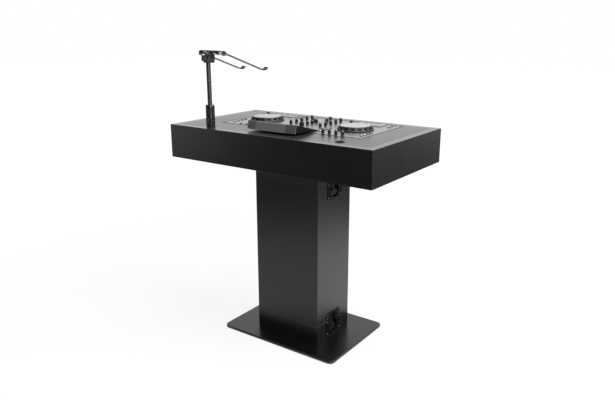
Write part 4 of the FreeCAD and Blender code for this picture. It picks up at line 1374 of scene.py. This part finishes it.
@dataclass
class StandTrim(Dressing):
    """Soft tips on the laptop arms, and rings on the stand's grips."""

    tip_length: float = 17 * MM
    tip_wall: float = 1.4 * MM
    tip_slice: float = 0.01 * MM
    tip_steps: int = 6
    tip_past: float = 0.06
    tip_weld: float = 0.001 * MM
    tip_ease: float = 0.7 * MM
    arm_plate: float = 3.6 * MM
    arm_lift: float = 16 * MM
    arm_end: float = 276 * MM
    hook_radius: float = 26 * MM
    hook_turn: float = math.radians(68)
    slope: float = math.radians(18.2)
    ring_width: float = 1.6 * MM
    ring_height: float = 2.2 * MM
    ring_proud: float = 0.6 * MM
    ring_gap: float = 1.2 * MM
    ring_sides: int = 48

    def build(self) -> None:
        """Tips on both arms, then the rings."""
        tilt = joint_place("cradle_tilt")
        at = Matrix.Translation(tilt) @ Matrix.Rotation(-self.slope, 4, "X")
        for hand in Hand:
            low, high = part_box(f"cradle_arm_{hand.label}")
            across = joint_place(f"arm_swing_{hand.label}").x - tilt.x
            tip = self.tip(f"arm_tip_{hand.label}", across, high.x - low.x)
            tip.data.transform(at)
            self.dress(tip, f"arm_{hand.label}", "cradle_steel", "tip_rubber")
        self.rings()

    def tip(self, name: str, x: float, width: float) -> Piece:
        """A rubber sleeve over an arm's upturned end, bent with it.

        Args:
            name: The piece's name.
            x: The arm's middle along the tilt axis.
            width: The arm's width.

        Returns:
            The tip, level about the tilt axis.
        """
        half = width / 2 + self.tip_wall
        bend = self.hook_radius + self.arm_plate / 2
        reach = self.arm_plate / 2 + self.tip_wall
        share = self.tip_length / bend
        centre = Vector((0, self.arm_end, self.arm_lift + self.arm_plate + self.hook_radius))
        piece = Workshop.slab(name, (x - half, -self.tip_slice, -reach), (x + half, self.tip_slice, reach))
        Workshop.pick_faces(piece, lambda face: face.normal.y < Workshop.FLAT)
        bpy.ops.mesh.delete(type="FACE")
        bpy.ops.object.mode_set(mode="OBJECT")
        turn = Matrix.Rotation(self.hook_turn - share, 4, "X")
        piece.data.transform(Matrix.Translation(centre) @ turn @ Matrix.Translation((0, 0, -bend)))
        Workshop.pick_faces(piece, lambda face: True)
        bpy.ops.mesh.spin(steps=self.tip_steps, angle=-(share + self.tip_past), center=centre, axis=(1, 0, 0))
        bpy.ops.mesh.select_all(action="SELECT")
        bpy.ops.mesh.remove_doubles(threshold=self.tip_weld)
        Workshop.close_ends()
        Workshop.pick_faces(piece, lambda face: True)
        bpy.ops.mesh.normals_make_consistent(inside=False)
        return Workshop.finish(piece, self.tip_ease)

    def rings(self) -> None:
        """Narrow rings where the grips end."""
        low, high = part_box("stand_sleeve")
        at = middle("stand_sleeve")
        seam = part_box("stand_clutch")[0].z
        radius = (high.x - low.x) / 2 + self.ring_proud
        for body, height in (("sleeve", seam - self.ring_gap - self.ring_height),
                             ("clutch", seam + self.ring_gap)):
            ring = Workshop.ring("ring", radius, self.ring_width, self.ring_height, self.ring_sides)
            place = Matrix.Translation((at.x, at.y, height))
            self.spread(ring, [place], f"{body}_ring", body, "stand_grip")


@dataclass
class BoothScrews(Dressing):
    """Countersunk screws under the base plate that hold the column's brackets."""

    offset: float = 85 * MM
    spacing: float = 14 * MM
    reach: float = 91 * MM
    head_radius: float = 5 * MM
    head_height: float = 0.6 * MM

    def build(self) -> None:
        """Two screws under each bracket."""
        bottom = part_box("base_plate")[0].z
        over = Matrix.Rotation(math.pi, 4, "X")
        places = [Matrix.Translation((side * self.offset + shift, front * self.reach, bottom)) @ over
                  for side in (-1, 1) for front in (-1, 1) for shift in (-self.spacing, self.spacing)]
        head = Workshop.screw(self.head_radius, self.head_height)
        self.spread(head, places, "base_screws", "booth", "base_steel", "rivet_steel")


def set_up(name: str, data: bpy.types.ID, at: Triple, forward: Vector) -> Piece:
    """Put a camera or a lamp into the scene.

    Args:
        name: Its name.
        data: Its camera or lamp data.
        at: Where it stands.
        forward: Where it looks.

    Returns:
        The new object.
    """
    item = bpy.data.objects.new(name, data)
    bpy.context.scene.collection.objects.link(item)
    item.location = at
    item.rotation_euler = forward.to_track_quat("-Z", "Y").to_euler()
    return item


@dataclass(frozen=True)
class Softbox:
    """A lamp that lights the booth and stays out of the picture."""

    at: Triple
    target: Triple
    size: Pair
    watts: float

    def hang(self, name: str) -> None:
        """Hang the lamp.

        Args:
            name: The lamp's name.
        """
        data = bpy.data.lights.new(name, "AREA")
        data.shape = "RECTANGLE"
        data.size, data.size_y = self.size
        data.energy = self.watts
        lamp = set_up(name, data, self.at, Vector(self.target) - Vector(self.at))
        lamp.visible_camera = False


SOFTBOXES = {
    "top_softbox": Softbox((0.7, 0.1, 2.7), (0.3, 0.0, 0.0), (2.0, 2.0), 105),
    "side_softbox": Softbox((2.6, 1.4, 2.3), (0.0, 0.0, 0.4), (1.6, 1.6), 30),
    "front_softbox": Softbox((-2.8, -2.2, 0.7), (-0.5, -0.3, 0.9), (1.2, 1.2), 3.5),
    "strip_light": Softbox((2.28, -1.68, 1.0), (-0.34, -0.23, 1.0), (0.25, 1.4), 34),
}


@dataclass
class Studio:
    """Camera, floor, world and lamps."""

    camera_at: Triple = (1.5943, -2.2185, 1.4179)
    yaw: float = -0.6159
    pitch: float = 0.2779
    lens: float = 36.213
    sensor: float = 36.0
    floor_size: float = 40.0
    floor_drop: float = 0.2 * MM
    floor_tone: float = 0.8
    floor_roughness: float = 0.9
    white: float = 1.05
    share_near: float = 0.84
    far: Pair = (1.2, 3.2)
    under_plate: float = 2 * MM
    plate_corner: float = 25 * MM
    # Painted light and shade of the floor as mirrors see it: a painted shadow near the booth, dimming far off
    # and in front, pale rear corners.
    mirror_far: float = 0.19
    mirror_span: Pair = (1.0, 2.6)
    mirror_front: float = 0.55
    mirror_back: Pair = (-0.4, 0.4)
    mirror_left: Pair = (1.0, 1.8)
    left_rear: Pair = (0.4, 1.2)
    mirror_right: Pair = (1.0, 2.0)
    right_rear: Pair = (3.9, 5.4)
    right_share: float = 0.55
    mirror_near: float = 0.35
    near_span: Pair = (0.22, 0.5)
    ambient: float = 0.2
    wall_front: float = 0.3
    wall_span: Pair = (-0.4, 0.4)

    def build(self) -> None:
        """Set up the whole studio."""
        self.camera()
        self.floor()
        self.world()
        for name, softbox in SOFTBOXES.items():
            softbox.hang(name)
        bpy.context.scene.view_settings.view_transform = "Standard"

    def camera(self) -> None:
        """A camera where the photograph was taken from."""
        data = bpy.data.cameras.new("camera")
        data.sensor_fit = "HORIZONTAL"
        data.sensor_width = self.sensor
        data.lens = self.lens
        level = math.cos(self.pitch)
        forward = Vector((math.sin(self.yaw) * level, math.cos(self.yaw) * level, -math.sin(self.pitch)))
        bpy.context.scene.camera = set_up("camera", data, self.camera_at, forward)

    def floor(self) -> None:
        """A plain pale floor that the camera sees as white, with a faint shadow."""
        Workshop.clear()
        bpy.ops.mesh.primitive_plane_add(size=self.floor_size, location=(0, 0, -self.floor_drop))
        floor = Workshop.start("studio_floor")
        bench = Bench("pale_floor")
        bench.set(base_color=grey(self.floor_tone), roughness=self.floor_roughness, specular_ior_level=0.0)
        reach = bench.x.hypot(bench.y)
        seen = bench.ray(Ray.CAMERA) * reach.rise(*self.far).above(self.share_near) * self.past_plate(bench)
        mirrors = bench.mirrors()
        # Mirrors see the floor glow in a painted tone of light and shade, not as the lamps light it.
        tone = 1 - mirrors * (1 - self.mirrored(bench, reach))
        lit = {"Color": bench.blend(tone, BLACK, WHITE), "Strength": self.white}
        glow = bench.add("ShaderNodeEmission", None, lit)
        shaders = {0: seen.most(mirrors), 1: bench.surface, 2: glow}
        bench.show(bench.add("ShaderNodeMixShader", None, shaders))
        floor.data.materials.append(bench.material)

    def past_plate(self, bench: Bench) -> Link:
        """The floor outside the base plate's rounded outline; the gap under the plate keeps its real shade.

        Args:
            bench: The floor's material.

        Returns:
            1 outside the outline, 0 under the plate.
        """
        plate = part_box("base_plate")[1]
        past = [(abs(place) - (half - self.plate_corner)).most(0.0)
                for place, half in ((bench.x, plate.x), (bench.y, plate.y))]
        return (past[0].hypot(past[1]) - self.plate_corner).rise(-self.under_plate, 0.0)

    def mirrored(self, bench: Bench, reach: Link) -> Link:
        """The floor as the booth mirrors it, in painted light and shade: painted shadow close by, painted
        dimming far off and in front, painted pale light in the rear corners.

        Args:
            bench: The floor's material.
            reach: Distance from the booth's middle.

        Returns:
            The floor's tone between 0 and 1.
        """
        left = (0 - bench.x).rise(*self.mirror_left) * bench.y.rise(*self.left_rear)
        right = self.right_share * bench.x.rise(*self.mirror_right) * bench.y.rise(*self.right_rear)
        fading = reach.fall(*self.mirror_span).above(self.mirror_far).most(left).most(right)
        behind = bench.y.rise(*self.mirror_back).above(self.mirror_front)
        return fading * behind * reach.rise(*self.near_span).above(self.mirror_near)

    def world(self) -> None:
        """An even pale surround: white to the camera, and dimmer in front of the booth in mirrors."""
        world = bpy.data.worlds.new("studio")
        bpy.context.scene.world = world
        world.use_nodes = True
        nodes = Nodes(world.node_tree)
        bearing = nodes.parts(nodes.add("ShaderNodeTexCoord", output="Generated"))[1]
        low, high = self.wall_span
        sockets = {"Value": bearing, "From Min": low, "From Max": high, "To Min": self.wall_front}
        wall = nodes.add("ShaderNodeMapRange", None, sockets)
        seen = (nodes.mirrors() * wall).most(nodes.ray(Ray.CAMERA))
        background = nodes.tree.nodes["Background"]
        nodes.put(background.inputs["Color"], WHITE)
        nodes.put(background.inputs["Strength"], seen.above(self.ambient))


def finishes() -> dict[str, bpy.types.Material]:
    """Make every finish of the booth.

    Returns:
        Materials by name: the record's slots, then the finishes of single nodes and of the trim.
    """
    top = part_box("insert_plate")[1].z
    plinth = tuple(corner.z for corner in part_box("plinth_boards"))
    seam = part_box("collar_boards")[0].z
    low, high = (tuple(corner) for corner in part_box("display_hood"))
    deck = middle("jog_plate_right")
    looks: dict[str, Finish] = {
        # The base plate's upright edges carry a painted highlight, nine times its colour.
        "base_steel": PowderCoat(grey(0.003, 0.0032), 0.28, worn=9.0),
        "foot_rubber": Rubber(grey(0.016), 0.8),
        "column_board": Laminate(grey(0.002, 0.0022), 0.24, 0.75),
        "table_board": Laminate(grey(0.0025, 0.0026), 0.28, 0.5, polish_above=top),
        "insert_board": Laminate(grey(0.012, 0.0124), 0.26, pores=1100.0, pore_depth=0.00002),
        "inner_timber": Plywood((0.5, 0.36, 0.22), 0.6),
        "bracket_steel": BareMetal(grey(0.5), 0.4),
        "latch_black": BlackZinc(grey(0.0025), 0.42, 0.1),
        "latch_moving": BlackZinc(grey(0.007), 0.3, 0.4),
        "socket_black": PowderCoat(grey(0.004), 0.45, 0.15),
        "stand_tube": PowderCoat(grey(0.006), 0.28, 0.6, peel_depth=0.000004, mottle=0.03),
        "stand_grip": MouldedPlastic(grey(0.005), 0.24, 0.45, texture_depth=0.00001),
        "head_black": MouldedPlastic(grey(0.012), 0.3, texture_depth=0.00001),
        "cradle_steel": PowderCoat(grey(0.012), 0.16, 0.7, peel_depth=0.00001, mottle=0.04),
        "bolt_steel": BareMetal(grey(0.12), 0.35),
        "controller_case": MouldedPlastic(grey(0.03, 0.031), 0.35),
        "panel_silver": ControllerFace(grey(0.32, 0.328), 0.34),
        "screen_black": ScreenGlass(grey(0.006, 0.007), 0.3, 0.35),
        "jog_black": MouldedPlastic(grey(0.009), 0.45, 0.25),
        "knob_black": Rubber(grey(0.004), 0.5, 0.3),
        "fader_black": MouldedPlastic(grey(0.01), 0.4),
        "pad_rubber": Rubber(grey(0.2), 0.45),
        "button_dark": MouldedPlastic(grey(0.03, 0.032), 0.35),
        # The plinth: a darker copy of the column's laminate, darkened as painted shade near the base, with
        # painted highlight lines along its bottom and top edges.
        "plinth_board": Laminate(grey(0.0012, 0.0013), 0.24, 0.6, cut_edges=plinth),
        "collar_board": Laminate(grey(0.005, 0.0052), 0.24, 0.75, cut_edges=(seam,), edge_share=0.1),
        "arm_steel": PowderCoat(grey(0.01), 0.3, 0.3, peel_depth=0.00001, mottle=0.04),
        # The hood's rear corners carry a painted highlight.
        "hood_case": DisplayHood(grey(0.004, 0.0042), 0.5, 0.1, low=low, high=high),
        "rivet_steel": BareMetal(grey(0.34), 0.3),
        "worn_edge": BareMetal(grey(0.1), 0.4),
        "white_ink": Rubber(grey(0.55), 0.5),
        "black_ink": MouldedPlastic(grey(0.008), 0.5),
        "bright_trim": BareMetal(grey(0.68, 0.69), 0.3),
        "tip_rubber": Rubber(grey(0.02), 0.6),
    }
    for hand in Hand:
        spun = BareMetal((0.52, 0.515, 0.53), 0.34, 0.4, Brushing.SPUN, (hand.value * deck.x, deck.y))
        looks[f"jog_silver_{hand.label}"] = spun
    return {name: look.material(name) for name, look in looks.items()}


def dress_nodes(materials: dict[str, bpy.types.Material]) -> None:
    """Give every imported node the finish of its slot, or its own.

    Args:
        materials: The finishes by name.
    """
    own = {"display_hood": "hood_case", "plinth_boards": "plinth_board", "collar_boards": "collar_board"}
    for hand in Hand:
        own[f"jog_plate_{hand.label}"] = f"jog_silver_{hand.label}"
        own[f"cradle_arm_{hand.label}"] = "arm_steel"
    for entry in frame["record"]["subparts"]:
        node = entry["node"]
        look = own.get(node, entry["material_slot"])
        mesh = frame["nodes"][node].data
        mesh.materials.clear()
        mesh.materials.append(materials[look])
        LOG.info("%s dressed as %s", node, look)


def main() -> None:
    """Build the studio, the finishes and the trim in order."""
    logging.basicConfig(level=logging.INFO)
    Studio().build()
    materials = finishes()
    dress_nodes(materials)
    for trim in (LatchHardware, ControllerTrim, StandTrim, BoothScrews):
        trim(materials).build()


if __name__ == "__main__":
    main()
